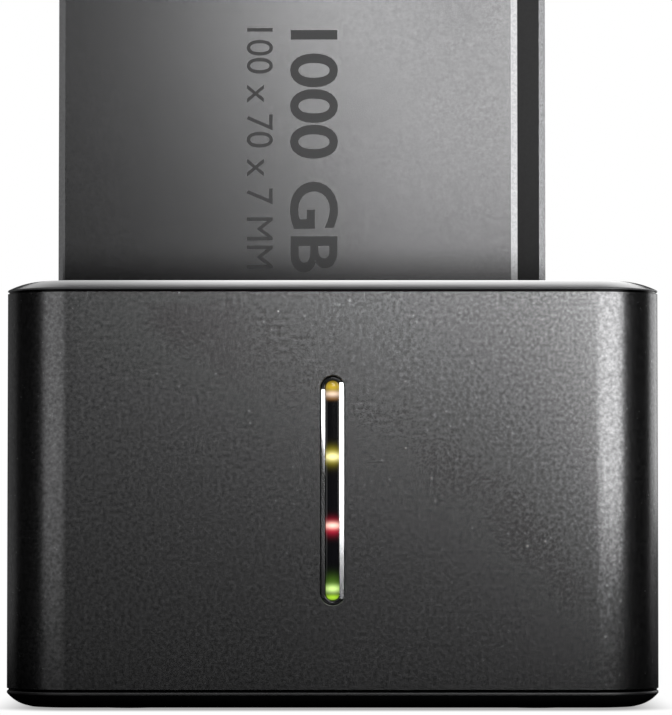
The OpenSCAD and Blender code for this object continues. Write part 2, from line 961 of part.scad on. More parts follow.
module power_switch_case() {
    depth_y = rear_in - switch_d;
    color(soft_black)
        translate([rocker_at, 0, port_z])
            difference() {
                union() {
                    box([-switch_w / 2, switch_w / 2], [depth_y, rear_in + eps],
                        [-switch_h / 2, switch_h / 2]);
                    along_y([rear_in, rear_in + switch_flange])
                        round_rect(switch_w + 2, switch_h + 2, 1);
                }
                box([switch_wall - 0.3 - switch_w / 2, switch_w / 2 - switch_wall + 0.3],
                    [depth_y + 4.6, rear_in + switch_flange + eps],
                    [switch_wall - switch_h / 2, switch_h / 2 - switch_wall]);
                translate([0, rocker_y, 0])
                    cylinder(d = trunnion_d + 2 * running,
                        h = switch_h - 2 * switch_wall + 2 * trunnion_l + 0.1, center = true);
            }
}

module power_switch_terminals() {
    depth_y = rear_in - switch_d;
    color(gold)
        for (x = [-4, 0, 4])
            box([rocker_at + x - 0.9, rocker_at + x + 0.9], [depth_y - 2, depth_y],
                [port_z - 0.25, port_z + 0.25]);
}

// The rocker turns about an upright pin; its outer face is a shallow V
module power_rocker() {
    rocker_h = switch_h - 2 * switch_wall - 0.3;
    color(black)
        translate([rocker_at, rocker_y, port_z])
            rotate([0, 0, -rocker_tilt])
                union() {
                    linear_extrude(rocker_h, center = true)
                        polygon([[-rocker_half, -0.5], [rocker_half, -0.5], [rocker_half, 2.2], [0, 1.2],
                            [-rocker_half, 2.2]]);
                    cylinder(d = 2.6, h = rocker_h, center = true);
                    cylinder(d = trunnion_d, h = rocker_h + 0.3 + 2 * trunnion_l, center = true);
                }
}

module copy_button() {
    color(black)
        union() {
            rod_y(copy_at, port_z, [panel_y - 0.1 - eps, rear_in + 1.3], copy_d);
            rod_y(copy_at, port_z, [panel_y - 1.1, panel_y - 0.1], copy_flange_d);
            rod_y(copy_at, port_z, [plunger_y + 1.4, panel_y - 1.1 + eps], plunger_d);
        }
}

module copy_plunger() {
    color(steel)
        rod_y(copy_at, port_z, [plunger_y - 1.3, plunger_y + 1.4], plunger_d);
}

module copy_switch() {
    half = copy_switch_w / 2;
    color(soft_black)
        difference() {
            box([copy_at - half, copy_at + half], [copy_switch_y - 3, copy_switch_y + 2.4],
                [board_top, port_z + half]);
            rod_y(copy_at, port_z, [plunger_y - 1.3 - copy_travel - loose, copy_switch_y + 2.4 + eps],
                plunger_d + 0.2);
        }
}

// Drives: each is drawn with its connector end at height zero and its front face at depth zero

module at_drive(i) {
    translate([bay_x[i], drive_y[i], drive_z])
        children();
}

// Edge of a drive's cover, bevelled at the front
module cover_edge() {
    polygon([[0, 0], [drive_r, 0], [drive_r, drive_inner - drive_bevel_d],
        [drive_r - drive_bevel, drive_inner], [0, drive_inner]]);
}

// Edge of a drive's back plate, with a small bevel at the back
module back_edge() {
    polygon([[0, 0], [drive_r - 0.3, 0], [drive_r, 0.3], [drive_r, drive_back_t], [0, drive_back_t]]);
}

module drive_cover(i) {
    inner_x = [drive_wall - drive_w / 2, drive_w / 2 - drive_wall];
    block = 6.4;
    color(drive_grey)
        at_drive(i)
            difference() {
                translate([0, drive_inner, drive_l / 2])
                    rotate([90, 0, 0])
                        edged_plate(drive_w, drive_l, drive_r, drive_inner)
                            cover_edge();
                difference() {
                    box(inner_x, [drive_skin, drive_inner + eps], [drive_wall, drive_l - drive_wall]);
                    for (x = [-1, 1]) {
                        for (z = drive_screw_z)
                            rod_y(x * drive_screw_x, z, [0, drive_inner + 1], 4);
                        for (z = mount_z)
                            box([x * mount_x - block / 2, x * mount_x + block / 2], [0, drive_inner + 1],
                                [z - block / 2, z + block / 2]);
                    }
                }
                box([socket_shift - nose_l / 2 - 1, socket_shift + nose_l / 2 + 1],
                    [1.2, drive_inner + eps], [-eps, drive_wall + eps]);
                for (x = [-1, 1]) {
                    for (z = drive_screw_z)
                        rod_y(x * drive_screw_x, z, [drive_skin + 0.4, drive_inner + eps],
                            drive_screw_d + 2 * thread);
                    for (z = mount_z) {
                        rod_y(x * mount_x, z, [drive_t - 4.2, drive_inner + eps], mount_d);
                        translate([x * (drive_w / 2 - 2.4), drive_t - 3, z])
                            rotate([0, x * 90, 0])
                                cylinder(d = mount_d, h = 2.4 + eps);
                    }
                }
            }
}

module drive_back(i) {
    color(drive_grey)
        at_drive(i)
            difference() {
                union() {
                    translate([0, drive_t, drive_l / 2])
                        rotate([90, 0, 0])
                            edged_plate(drive_w, drive_l, drive_r, drive_back_t)
                                back_edge();
                    for (x = [-1, 1], z = drive_board_z)
                        rod_y(x * (drive_board_w / 2 - 3), z + (z == drive_board_z[0] ? 4 : -4),
                            [drive_inner - drive_pad, drive_inner + eps], 5);
                }
                for (x = [-1, 1]) {
                    for (z = drive_screw_z) {
                        rod_y(x * drive_screw_x, z, [drive_inner - eps, drive_t + eps],
                            drive_screw_d + 0.3);
                        rod_y(x * drive_screw_x, z, [drive_t - 0.8, drive_t + eps], 3.3);
                    }
                    for (z = mount_z)
                        rod_y(x * mount_x, z, [drive_inner - eps, drive_t + eps], mount_d);
                }
            }
}

module drive_board(i) {
    color(board_green)
        at_drive(i)
            box([-drive_board_w / 2, drive_board_w / 2], [drive_board_y, drive_board_y + drive_board_t],
                drive_board_z);
}

module drive_chips(i) {
    chip_y = [drive_board_y - 1.2, drive_board_y];
    color(black)
        at_drive(i) {
            box([-20, -8], chip_y, [26, 40]);
            box([-3, 9], chip_y, [26, 40]);
            box([14, 24], chip_y, [17, 27]);
        }
}

// The plug: a body on the board's edge with two keyed tongues that point out of the drive
module drive_plug(i) {
    half = nose_l / 2 + 2;
    color(soft_black)
        at_drive(i)
            translate([socket_shift, 0, 0])
                union() {
                    box([-half, half], [drive_skin + 0.4, drive_board_y + drive_board_t],
                        [plug_z, drive_board_z[0]]);
                    box([-half, half], [drive_skin + 0.4, drive_board_y],
                        [drive_board_z[0] - eps, drive_board_z[0] + 3.5]);
                    for (key = [0, 1])
                        box([key_x[key] - key_l[key] / 2, key_x[key] + key_l[key] / 2],
                            [drive_t / 2 - tongue_t / 2, drive_t / 2 + tongue_t / 2],
                            [tongue_tip, plug_z + eps]);
                }
}

module drive_contacts(i) {
    face_y = drive_t / 2 + tongue_t / 2;
    color(gold)
        at_drive(i)
            translate([socket_shift, 0, 0])
                for (key = [0, 1], pin = [0:key_pins[key] - 1])
                    box([pin_x(key, pin) - contact_w / 2, pin_x(key, pin) + contact_w / 2],
                        [face_y, face_y + 0.1], [tongue_tip + 0.4, plug_z]);
}

module drive_screws(i) {
    color(steel)
        at_drive(i)
            for (x = [-1, 1], z = drive_screw_z)
                translate([x * drive_screw_x, drive_t - 0.8, z])
                    rotate([90, 0, 0])
                        screw_up(drive_screw_d, drive_t - drive_skin - 1.4, 3, 0.7);
}

module front_drive_cover() {
    drive_cover(0);
}

module front_drive_back() {
    drive_back(0);
}

module front_drive_board() {
    drive_board(0);
}

module front_drive_chips() {
    drive_chips(0);
}

module front_drive_plug() {
    drive_plug(0);
}

module front_drive_contacts() {
    drive_contacts(0);
}

module front_drive_screws() {
    drive_screws(0);
}

module rear_drive_cover() {
    drive_cover(1);
}

module rear_drive_back() {
    drive_back(1);
}

module rear_drive_board() {
    drive_board(1);
}

module rear_drive_chips() {
    drive_chips(1);
}

module rear_drive_plug() {
    drive_plug(1);
}

module rear_drive_contacts() {
    drive_contacts(1);
}

module rear_drive_screws() {
    drive_screws(1);
}

// The assembly

outer_sleeve();
top_cover();
base_tray();
rubber_feet();
case_screws();
front_bay_well();
rear_bay_well();
bay_screws();
led_bezel();
light_bar();
light_baffle();
led_board();
led_board_screws();
amber_led();
yellow_led();
red_led();
green_led();
led_header();
led_header_pins();
main_board();
board_screws();
front_sata_socket();
rear_sata_socket();
front_sata_contacts();
rear_sata_contacts();
bridge_chip();
support_chips();
capacitors();
power_inductors();
crystal();
rear_panel();
panel_screws();
usb_shell();
usb_core();
dc_jack();
dc_jack_pin();
power_switch_case();
power_switch_terminals();
power_rocker();
copy_button();
copy_plunger();
copy_switch();
front_drive_cover();
front_drive_back();
front_drive_board();
front_drive_chips();
front_drive_plug();
front_drive_contacts();
front_drive_screws();
rear_drive_cover();
rear_drive_back();
rear_drive_board();
rear_drive_chips();
rear_drive_plug();
rear_drive_contacts();
rear_drive_screws();
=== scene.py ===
"""Looks of a two-bay drive docking station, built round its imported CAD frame."""

import logging
import math
from dataclasses import dataclass, field, replace
from enum import Enum
from typing import Any, Callable, Union

import bmesh
import bpy
import numpy as np
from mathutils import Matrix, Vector
from mathutils.geometry import tessellate_polygon
from numpy.typing import NDArray


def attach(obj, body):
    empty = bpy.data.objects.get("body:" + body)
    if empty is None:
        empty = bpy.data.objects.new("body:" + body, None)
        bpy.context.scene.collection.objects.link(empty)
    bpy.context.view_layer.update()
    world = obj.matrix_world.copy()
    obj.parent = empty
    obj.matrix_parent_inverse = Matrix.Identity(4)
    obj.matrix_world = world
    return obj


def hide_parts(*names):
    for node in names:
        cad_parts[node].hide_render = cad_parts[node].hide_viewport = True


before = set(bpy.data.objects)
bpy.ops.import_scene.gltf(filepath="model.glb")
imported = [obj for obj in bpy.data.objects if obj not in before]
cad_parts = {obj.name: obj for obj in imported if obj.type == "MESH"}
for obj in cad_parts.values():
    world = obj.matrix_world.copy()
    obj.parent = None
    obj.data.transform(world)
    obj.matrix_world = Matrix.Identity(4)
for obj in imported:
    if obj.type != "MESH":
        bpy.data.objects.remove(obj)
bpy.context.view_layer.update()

LOG = logging.getLogger("dock")
# A millimetre and the merging distance in metres, the angle in degrees from which an edge stays crisp,
# and the corner radius in millimetres up to which an outline counts as square
MM = 0.001
MERGE = 1e-6
SHARP = 32.0
SQUARE = 0.1

Array = NDArray[np.float64]
Colour = tuple[float, float, float]
Point = tuple[float, float, float]


class Body(str, Enum):
    """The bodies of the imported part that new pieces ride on."""

    DOCK = "dock"
    FRONT_DRIVE = "front_drive"
    REAR_DRIVE = "rear_drive"
    ROCKER = "power_rocker"


class Side(int, Enum):
    """The four straight sides of a round-cornered outline, in the order the outline passes them."""

    REAR = 0
    LEFT = 1
    FRONT = 2
    RIGHT = 3


def sum_of(operation: str, swapped: bool = False) -> Callable[["Shade", "Value"], "Shade"]:
    """Makes an operator of Shade that adds one Math node.

    Args:
        operation: the node's operation.
        swapped: whether the other value comes first, as in 1 - mask.

    Returns:
        The operator.
    """

    def operator(self: "Shade", other: "Value") -> "Shade":
        """This value and another, in the operator's order."""
        values = (other, self) if swapped else (self, other)
        return self.book.add("ShaderNodeMath", {"operation": operation}, dict(enumerate(values)))

    return operator


class Shade:
    """A shader socket that takes part in sums, so that a shader formula reads as a formula.

    most gives the larger of two values, and step gives 1 where this value is above the other.
    """

    __add__ = sum_of("ADD")
    __radd__ = sum_of("ADD", True)
    __sub__ = sum_of("SUBTRACT")
    __rsub__ = sum_of("SUBTRACT", True)
    __mul__ = sum_of("MULTIPLY")
    __rmul__ = sum_of("MULTIPLY", True)
    __truediv__ = sum_of("DIVIDE")
    __pow__ = sum_of("POWER")
    __rpow__ = sum_of("POWER", True)
    most = sum_of("MAXIMUM")
    step = sum_of("GREATER_THAN")

    def __init__(self, book: "NodeBook", socket: bpy.types.NodeSocket) -> None:
        """Keeps the socket and the book that its nodes are written in.

        Args:
            book: the material's nodes.
            socket: the output socket that gives this value.
        """
        self.book = book
        self.socket = socket

    def size(self) -> "Shade":
        """This value without its sign."""
        return self.book.add("ShaderNodeMath", {"operation": "ABSOLUTE"}, {0: self})

    def bell(self, middle: float, width: float) -> "Shade":
        """A bell curve of this value: e to the power of -((value - middle) / width) squared.

        Args:
            middle: where the bell is 1.
            width: the distance at which it falls to 1 / e.

        Returns:
            The bell's height.
        """
        away = (self - middle) / width
        return math.e ** (away * away * -1.0)


Value = Union[Shade, float]


class NodeBook:
    """The nodes of one tree."""

    def __init__(self, tree: bpy.types.NodeTree) -> None:
        """Keeps the tree that the nodes are written in.

        Args:
            tree: the tree of a material or of the world.
        """
        self.tree = tree

    def add(self, kind: str, settings: dict[str, Any], sockets: dict[Any, Any],
            output: Union[int, str] = 0) -> Shade:
        """Adds a node.

        Args:
            kind: the node's type.
            settings: its own settings; "stops" are a ramp's places and colours.
            sockets: the value or link of each input, by name or number.
            output: the output that is handed back.

        Returns:
            The chosen output.
        """
        node = self.tree.nodes.new(kind)
        for name, value in settings.items():
            if name == "stops":
                self._stops(node.color_ramp, value)
            else:
                setattr(node, name, value)
        for name, value in sockets.items():
            self.feed(node.inputs[name], value)
        return Shade(self, node.outputs[output])

    @staticmethod
    def _stops(ramp: bpy.types.ColorRamp, stops: list[tuple[float, Colour]]) -> None:
        """Sets a ramp's stops.

        Args:
            ramp: the ramp.
            stops: place and colour of each stop, in order.
        """
        while len(ramp.elements) < len(stops):
            ramp.elements.new(1.0)
        for element, (place, colour) in zip(ramp.elements, stops):
            element.position = place
            element.color = (*colour, 1.0)

    def feed(self, socket: bpy.types.NodeSocket, value: Any) -> None:
        """Links or sets one input.

        Args:
            socket: the input.
            value: a Shade to link, or a plain value.
        """
        if isinstance(value, Shade):
            self.tree.links.new(value.socket, socket)
        else:
            socket.default_value = value

    def ramp(self, value: Shade, places: tuple[float, float], heights: tuple[float, float]) -> Shade:
        """A smooth step between two heights, level outside its two places.

        Args:
            value: the value that is stepped.
            places: where the step starts and ends.
            heights: the height before it and after it.

        Returns:
            The height.
        """
        return self.add("ShaderNodeMapRange", {"interpolation_type": "SMOOTHSTEP"}, {
            0: value, 1: places[0], 2: places[1], 3: heights[0], 4: heights[1]})

    def tinted(self, colour: Colour, tone: Value) -> Shade:
        """A colour made lighter or darker.

        Args:
            colour: the colour at tone 1.
            tone: the factor.

        Returns:
            The colour times the tone.
        """
        return self.add("ShaderNodeVectorMath", {"operation": "SCALE"}, {0: colour, "Scale": tone})

    def summed(self, first: Shade, second: Shade) -> Shade:
        """The sum of two colours."""
        return self.add("ShaderNodeVectorMath", {"operation": "ADD"}, {0: first, 1: second})


class MaterialBook(NodeBook):
    """The nodes of one material, with its shader and its place on the object."""

    def __init__(self, name: str) -> None:
        """Starts a material.

        Args:
            name: the material's name.
        """
        self.material = bpy.data.materials.new(name)
        self.material.use_nodes = True
        super().__init__(self.material.node_tree)
        self.shader = self.tree.nodes["Principled BSDF"]
        self.place = self.add("ShaderNodeTexCoord", {}, {}, "Object")

    def surface(self, sockets: dict[str, Any]) -> None:
        """Links or sets inputs of the main shader.

        Args:
            sockets: value or link of each input by name.
        """
        for name, value in sockets.items():
            self.feed(self.shader.inputs[name], value)

    def noise(self, size_mm: float, detail: float = 2.0) -> Shade:
        """Noise over the object.

        Args:
            size_mm: size of one blotch.
            detail: number of finer layers.

        Returns:
            The noise, about 0 in the middle.
        """
        return self.add("ShaderNodeTexNoise", {}, {
            "Vector": self.place, "Scale": 1.0 / (size_mm * MM), "Detail": detail, "Roughness": 0.55}) - 0.5

    def relief(self, height: Shade, depth_mm: float) -> Shade:
        """A bump.

        Args:
            height: the height from 0 to 1.
            depth_mm: the real height of 1.

        Returns:
            The bumped normal.
        """
        return self.add("ShaderNodeBump", {}, {"Height": height, "Strength": 1.0, "Distance": depth_mm * MM})

    def axis_mm(self, axis: str) -> Shade:
        """One coordinate of the object's own place, in millimetres."""
        return self.add("ShaderNodeSeparateXYZ", {}, {0: self.place}, axis) * (1.0 / MM)


@dataclass(frozen=True)
class Finish:
    """A plain finish with a fine grain, broad patches and a slight relief.

    The tone of a point is 1 + 2 * tint * grain + 2 * patch * blotch.
    """

    name: str
    colour: Colour
    metallic: float = 0.0
    roughness: float = 0.5
    grain_mm: float = 0.4
    tint: float = 0.08
    gloss: float = 0.06
    relief_mm: float = 0.0
    patch_mm: float = 14.0
    patch: float = 0.06

    def material(self) -> bpy.types.Material:
        """The finish as a material, made once.

        Returns:
            The material.
        """
        made = bpy.data.materials.get(self.name)
        return made if made else self.build()

    def grained(self, book: MaterialBook) -> tuple[Shade, Shade, Shade]:
        """Adds the grain and the patches, and the relief where the finish has one.

        Args:
            book: the material's nodes.

        Returns:
            The grain, the blotches and the tone that they give.
        """
        grain = book.noise(self.grain_mm, 3.0)
        blotch = book.noise(self.patch_mm)
        if self.relief_mm:
            book.surface({"Normal": book.relief(grain, self.relief_mm)})
        return grain, blotch, grain * (2 * self.tint) + blotch * (2 * self.patch) + 1.0

    def build(self) -> bpy.types.Material:
        """Writes the material's nodes: colour times tone, and a roughness that follows the grain.

        Returns:
            The material.
        """
        book = MaterialBook(self.name)
        grain, blotch, tone = self.grained(book)
        book.surface({
            "Base Color": book.tinted(self.colour, tone),
            "Roughness": grain * self.gloss + blotch * (0.5 * self.gloss) + self.roughness,
            "Metallic": self.metallic,
        })
        return book.material


@dataclass(frozen=True)
class Glow:
    """One patch of light in the lens: its height, how far it spreads and its colour."""

    z: float
    spread: float
    colour: Colour


@dataclass(frozen=True)
class GlowFinish(Finish):
    """A smoked lens with lights behind it."""

    glows: tuple[Glow, ...] = ()
    across: float = 1.2

    def build(self) -> bpy.types.Material:
        """Writes the nodes: light = bell across the lens * sum over the patches of colour * bell(z).

        Returns:
            The material.
        """
        book = MaterialBook(self.name)
        z = book.axis_mm("Z")
        across = book.axis_mm("X").bell(0.0, self.across)
        light = book.tinted((0.0, 0.0, 0.0), across)
        for glow in self.glows:
            light = book.summed(light, book.tinted(glow.colour, z.bell(glow.z, glow.spread) * across))
        smoke = book.noise(self.grain_mm)
        book.surface({
            "Base Color": book.tinted(self.colour, smoke * (2 * self.tint) + 1.0),
            "Roughness": smoke * self.gloss + self.roughness,
            "Emission Color": light,
            "Emission Strength": 1.0,
        })
        return book.material


@dataclass(frozen=True)
class TwoToneFinish(Finish):
    """A finish with one tone on the face and another past its edges: a bare bevel, or painted shade at a
    seam.
    """

    edge_tone: float = 1.3
    centre: tuple[float, float] = (0.0, 0.0)
    half: tuple[float, float] = (1.0, 1.0)
    behind: float = 100.0
    specular: float = 0.5

    def build(self) -> bpy.types.Material:
        """Writes the nodes: past is 1 where a point lies outside the face in X or Z and ahead of a depth.

        Returns:
            The material.
        """
        book = MaterialBook(self.name)
        outside = [(book.axis_mm(axis) - middle).size() - half
                   for axis, middle, half in zip("XZ", self.centre, self.half)]
        past = outside[0].most(outside[1]).step(0.0) * (1.0 - book.axis_mm("Y").step(self.behind))
        grain, _, tone = self.grained(book)
        book.surface({
            "Base Color": book.tinted(self.colour, tone * (1.0 + past * (self.edge_tone - 1.0))),
            "Roughness": grain * self.gloss + self.roughness,
            "Metallic": past * (1.0 - self.metallic) + self.metallic,
            "Specular IOR Level": self.specular,
        })
        return book.material


@dataclass(frozen=True)
class BoardFinish(Finish):
    """Solder mask over copper: broad fields and fine tracks a little lighter than the ground."""

    field_mm: float = 3.3
    track: float = 0.05
    track_tone: float = 0.5
    track_mm: float = 0.02

    def build(self) -> bpy.types.Material:
        """Writes the nodes: tracks are the narrow seams between the cells of an irregular cell pattern.

        Returns:
            The material.
        """
        book = MaterialBook(self.name)
        edge = book.add("ShaderNodeTexVoronoi", {"feature": "DISTANCE_TO_EDGE"}, {
            "Vector": book.place, "Scale": 1.0 / (self.field_mm * MM)})
        track = edge.bell(0.0, self.track)
        grain = book.noise(self.grain_mm)
        book.surface({
            "Base Color": book.tinted(self.colour, track * self.track_tone + grain * (2 * self.tint) + 1.0),
            "Roughness": grain * self.gloss + self.roughness,
            "Normal": book.relief(track, self.track_mm),
        })
        return book.material


# GRAPHITE's near-black edge tone is painted shade: it darkens the sleeve's seam lips and its top and bottom
# edges, so the seams read dark and the edges show no highlight.
GRAPHITE = TwoToneFinish("graphite_anodised", (0.16, 0.16, 0.162), 1.0, 0.26, 0.55, 0.9, 0.06, 0.003,
                         20.0, 0.05, edge_tone=0.04)
SATIN_TOP = Finish("satin_black_top", (0.045, 0.045, 0.047), 0.0, 0.3, 0.35, 0.08, 0.05, 0.004)
BASE_BLACK = Finish("matt_black_base", (0.006, 0.006, 0.0065), 0.0, 0.42, 0.3, 0.1, 0.05, 0.004)
WELL_BLACK = Finish("well_black", (0.012, 0.012, 0.013), 0.0, 0.5, 0.4, 0.1, 0.06, 0.006)
RUBBER = Finish("foot_rubber", (0.014, 0.014, 0.014), 0.0, 0.85, 0.25, 0.15, 0.06, 0.012)
STEEL = Finish("screw_steel", (0.5, 0.5, 0.51), 1.0, 0.28, 0.2, 0.06, 0.08, 0.003)
GLOSS_BLACK = Finish("gloss_black_trim", (0.004, 0.004, 0.0045), 0.0, 0.14, 0.4, 0.1, 0.03)
CHROME = Finish("bright_chrome", (0.86, 0.86, 0.87), 1.0, 0.16, 0.5, 0.02, 0.03)
PLATED = Finish("plated_port_metal", (0.62, 0.62, 0.61), 1.0, 0.24, 0.3, 0.05, 0.06, 0.002)
GOLD = Finish("contact_gold", (0.83, 0.62, 0.26), 1.0, 0.25, 0.2, 0.05, 0.05)
CAN = Finish("can_aluminium", (0.6, 0.6, 0.61), 1.0, 0.35, 0.3, 0.05, 0.08)
PORT_BLACK = Finish("port_black", (0.011, 0.011, 0.012), 0.0, 0.38, 0.3, 0.1, 0.05, 0.003)
CHIP = Finish("chip_black", (0.02, 0.02, 0.021), 0.0, 0.6, 0.25, 0.12, 0.05, 0.004)
ROCKER_BLACK = Finish("rocker_black", (0.013, 0.013, 0.014), 0.0, 0.3, 0.35, 0.08, 0.05, 0.003)
BUTTON_GREY = Finish("button_grey", (0.16, 0.16, 0.165), 0.0, 0.45, 0.3, 0.07, 0.05, 0.004)
DRIVE_METAL = TwoToneFinish("drive_blasted_metal", (0.103, 0.103, 0.1045), 1.0, 0.225, 0.4, 0.3, 0.03, 0.0004,
                            24.0, 0.04)
# The rear drive's finish is painted shade: a near-black copy of the drive metal with little gloss, standing
# in for the shade that the front drive casts on it.
DRIVE_PAINTED_SHADE = replace(DRIVE_METAL, name="drive_painted_shade", colour=(0.013, 0.013, 0.0133), metallic=0.0,
                     specular=0.08)
PLATE_METAL = Finish("drive_plate_metal", (0.2, 0.2, 0.203), 1.0, 0.3, 0.4, 0.2, 0.04, 0.001, 24.0, 0.05)
PRINT_GREY = Finish("print_dark_grey", (0.035, 0.035, 0.036), 0.0, 0.6, 0.25, 0.1, 0.05)
PRINT_PALE = Finish("print_pale", (0.42, 0.42, 0.42), 0.0, 0.6, 0.25, 0.06, 0.05)
SOLDER_MASK = BoardFinish("board_solder_mask", (0.012, 0.07, 0.03), 0.0, 0.35, 0.4, 0.12, 0.06)
LENS = GlowFinish("smoke_lens_glow", (0.004, 0.004, 0.005), 0.0, 0.12, 0.5, 0.1, 0.03, glows=(
    Glow(48.0, 0.75, (0.66, 0.45, 0.03)), Glow(46.9, 0.42, (1.05, 0.78, 0.6)),
    Glow(46.25, 0.3, (0.2, 0.09, 0.02)),
    Glow(37.7, 1.1, (0.55, 0.47, 0.03)), Glow(37.6, 0.55, (1.0, 0.95, 0.6)),
    Glow(27.2, 1.0, (0.75, 0.02, 0.06)), Glow(27.4, 0.46, (1.0, 0.95, 0.75)),
    Glow(18.6, 1.3, (0.07, 0.16, 0.012)), Glow(18.03, 0.55, (0.78, 1.05, 0.36)),
    Glow(16.75, 0.4, (0.42, 0.74, 0.03)),
))
WHITE = (1.0, 1.0, 1.0)
UNLIT: dict[str, Any] = {"Base Color": (0.0, 0.0, 0.0, 1.0), "Roughness": 1.0, "Specular IOR Level": 0.0}
LAMPS = {
    "amber_led": Finish("amber_lamp", (0.9, 0.4, 0.05), 0.0, 0.3),
    "yellow_led": Finish("yellow_lamp", (0.9, 0.7, 0.06), 0.0, 0.3),
    "red_led": Finish("red_lamp", (0.8, 0.03, 0.05), 0.0, 0.3),
    "green_led": Finish("green_lamp", (0.2, 0.7, 0.06), 0.0, 0.3),
}


@dataclass(frozen=True)
class Plane:
    """A flat frame: a point is origin + a * u + b * v + height * normal, all in millimetres."""

    origin: Point
    u: Point
    v: Point
    normal: Point

    def at(self, flat: Array, height: Union[float, Array] = 0.0) -> Array:
        """Puts flat points into space.

        Args:
            flat: points, two numbers each.
            height: height of all points, or of each.

        Returns:
            Points, three numbers each.
        """
        lift = np.asarray(height, float)[..., None] * np.asarray(self.normal)
        spread = flat[..., :1] * np.asarray(self.u) + flat[..., 1:] * np.asarray(self.v)
        return np.asarray(self.origin) + spread + lift


def level(z: float = 0.0) -> Plane:
    """The horizontal plane at height z, facing up."""
    return Plane((0.0, 0.0, z), (1, 0, 0), (0, 1, 0), (0, 0, 1))


def under(z: float) -> Plane:
    """The horizontal plane at height z, facing down."""
    return Plane((0.0, 0.0, z), (1, 0, 0), (0, 1, 0), (0, 0, -1))


def upright(y: float, facing: int) -> Plane:
    """The plane of X and Z at depth y, facing the front (-1) or the back (1)."""
    return Plane((0.0, y, 0.0), (1, 0, 0), (0, 0, 1), (0, facing, 0))


def sideways(x: float, facing: int) -> Plane:
    """The plane of Y and Z at place x, facing left (-1) or right (1)."""
    return Plane((x, 0.0, 0.0), (0, 1, 0), (0, 0, 1), (facing, 0, 0))


@dataclass(frozen=True)
class RoundRect:
    """An outline with straight sides and round corners; a circle or a slot where the radius is half a side.

    Points are corner + radius * (cos a, sin a), a over one quarter turn for each corner, and the
    normals are (cos a, sin a). A strip adds a point on the straight beside each end of each arc.
    """

    width: float
    height: float
    radius: float
    centre: tuple[float, float] = (0.0, 0.0)
    arc: int = 10
    strip: float = 0.0

    def ring(self) -> tuple[Array, Array]:
        """The outline's points and outward normals.

        Returns:
            Two arrays with one row per point.
        """
        turn = np.linspace(0, np.pi / 2, self.arc + 1) + np.arange(4)[:, None] * np.pi / 2
        normal = np.stack([np.cos(turn), np.sin(turn)], -1)
        signs = np.array([[1, 1], [-1, 1], [-1, -1], [1, -1]], float)
        middle = signs * (np.array([self.width, self.height]) / 2 - self.radius) + np.array(self.centre)
        point = middle[:, None, :] + self.radius * normal
        if self.strip:
            along = np.stack([-np.sin(turn), np.cos(turn)], -1) * self.strip
            point = np.concatenate([point[:, :1] - along[:, :1], point, point[:, -1:] + along[:, -1:]], 1)
            normal = np.concatenate([normal[:, :1], normal, normal[:, -1:]], 1)
        return point.reshape(-1, 2), normal.reshape(-1, 2)

    def loop(self, grow: float = 0.0) -> Array:
        """The outline's points moved outwards by grow, square corners kept square.

        Args:
            grow: the distance.

        Returns:
            The points.
        """
        if self.radius > SQUARE:
            point, normal = self.ring()
            return point + normal * grow
        return replace(self, width=self.width + 2 * grow, height=self.height + 2 * grow).ring()[0]

    def flat_column(self, side: Side) -> int:
        """The column of faces that covers a straight side, where the outline has a strip."""
        return (side.value + 1) * (self.arc + 3) - 1


@dataclass(frozen=True)
class Hole:
    """A hole in a flat face: its outline, and rows of growth and depth from the face inwards."""

    shape: RoundRect
    rows: tuple[tuple[float, float], ...]
    floor: bool = False


def edged(shape: RoundRect, edge: float, depth: float, floor: bool = False) -> Hole:
    """A hole with a chamfered mouth, as wide as it is deep, and straight walls below it."""
    return Hole(shape, ((edge, 0.0), (0.0, edge), (0.0, depth)), floor)


def circle(d: float, x: float, y: float, arc: int = 8) -> RoundRect:
    """A round outline."""
    return RoundRect(d, d, d / 2, (x, y), arc)


def rounded(centre: tuple[float, float], radius: float, start: float, end: float, steps: int) -> Array:
    """Points of an arc in a section: centre + radius * (cos a, sin a), in degrees."""
    turn = np.radians(np.linspace(start, end, steps + 1))
    return np.asarray(centre) + radius * np.stack([np.cos(turn), np.sin(turn)], -1)


def oblong(x: tuple[float, float], y: tuple[float, float]) -> Array:
    """The corners of a rectangle, from its limits."""
    return np.array([[x[0], y[0]], [x[1], y[0]], [x[1], y[1]], [x[0], y[1]]])


def show(name: str, data: bpy.types.ID) -> bpy.types.Object:
    """Puts data into the scene as an object at the origin.

    Args:
        name: the object's name.
        data: its mesh, curve, lamp or camera.

    Returns:
        The object.
    """
    made = bpy.data.objects.new(name, data)
    bpy.context.scene.collection.objects.link(made)
    return made


def stage_sheet(name: str, points: Array, faces: Array, material: bpy.types.Material) -> bpy.types.Object:
    """Makes a sheet of the studio, which isn't part of the object.

    Args:
        name: its name.
        points: its points, in metres.
        faces: the points of each face.
        material: its material.

    Returns:
        The object.
    """
    mesh = bpy.data.meshes.new(name)
    mesh.from_pydata(points.tolist(), [], faces.tolist())
    mesh.materials.append(material)
    made = show(name, mesh)
    return made


@dataclass(frozen=True)
class Label:
    """A piece's name, body, material slot and finish, and the CAD nodes that it replaces.

    Edges from the sharp angle on, in degrees, stay crisp.
    """

    name: str
    body: Body
    slot: str
    finish: Finish
    stands_for: tuple[str, ...] = ()
    sharp: float = SHARP

    def place(self, mesh: bpy.types.Mesh) -> None:
        """Puts a finished mesh into the scene as this piece.

        Args:
            mesh: the mesh, already in place.
        """
        mesh.shade_smooth()
        mesh.set_sharp_from_angle(angle=math.radians(self.sharp))
        mesh.materials.clear()
        mesh.materials.append(self.finish.material())
        made = show(self.name, mesh)
        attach(made, self.body.value)
        if self.stands_for:
            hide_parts(*self.stands_for)
        LOG.info("piece %s on %s, %d faces", self.name, self.body.value, len(mesh.polygons))


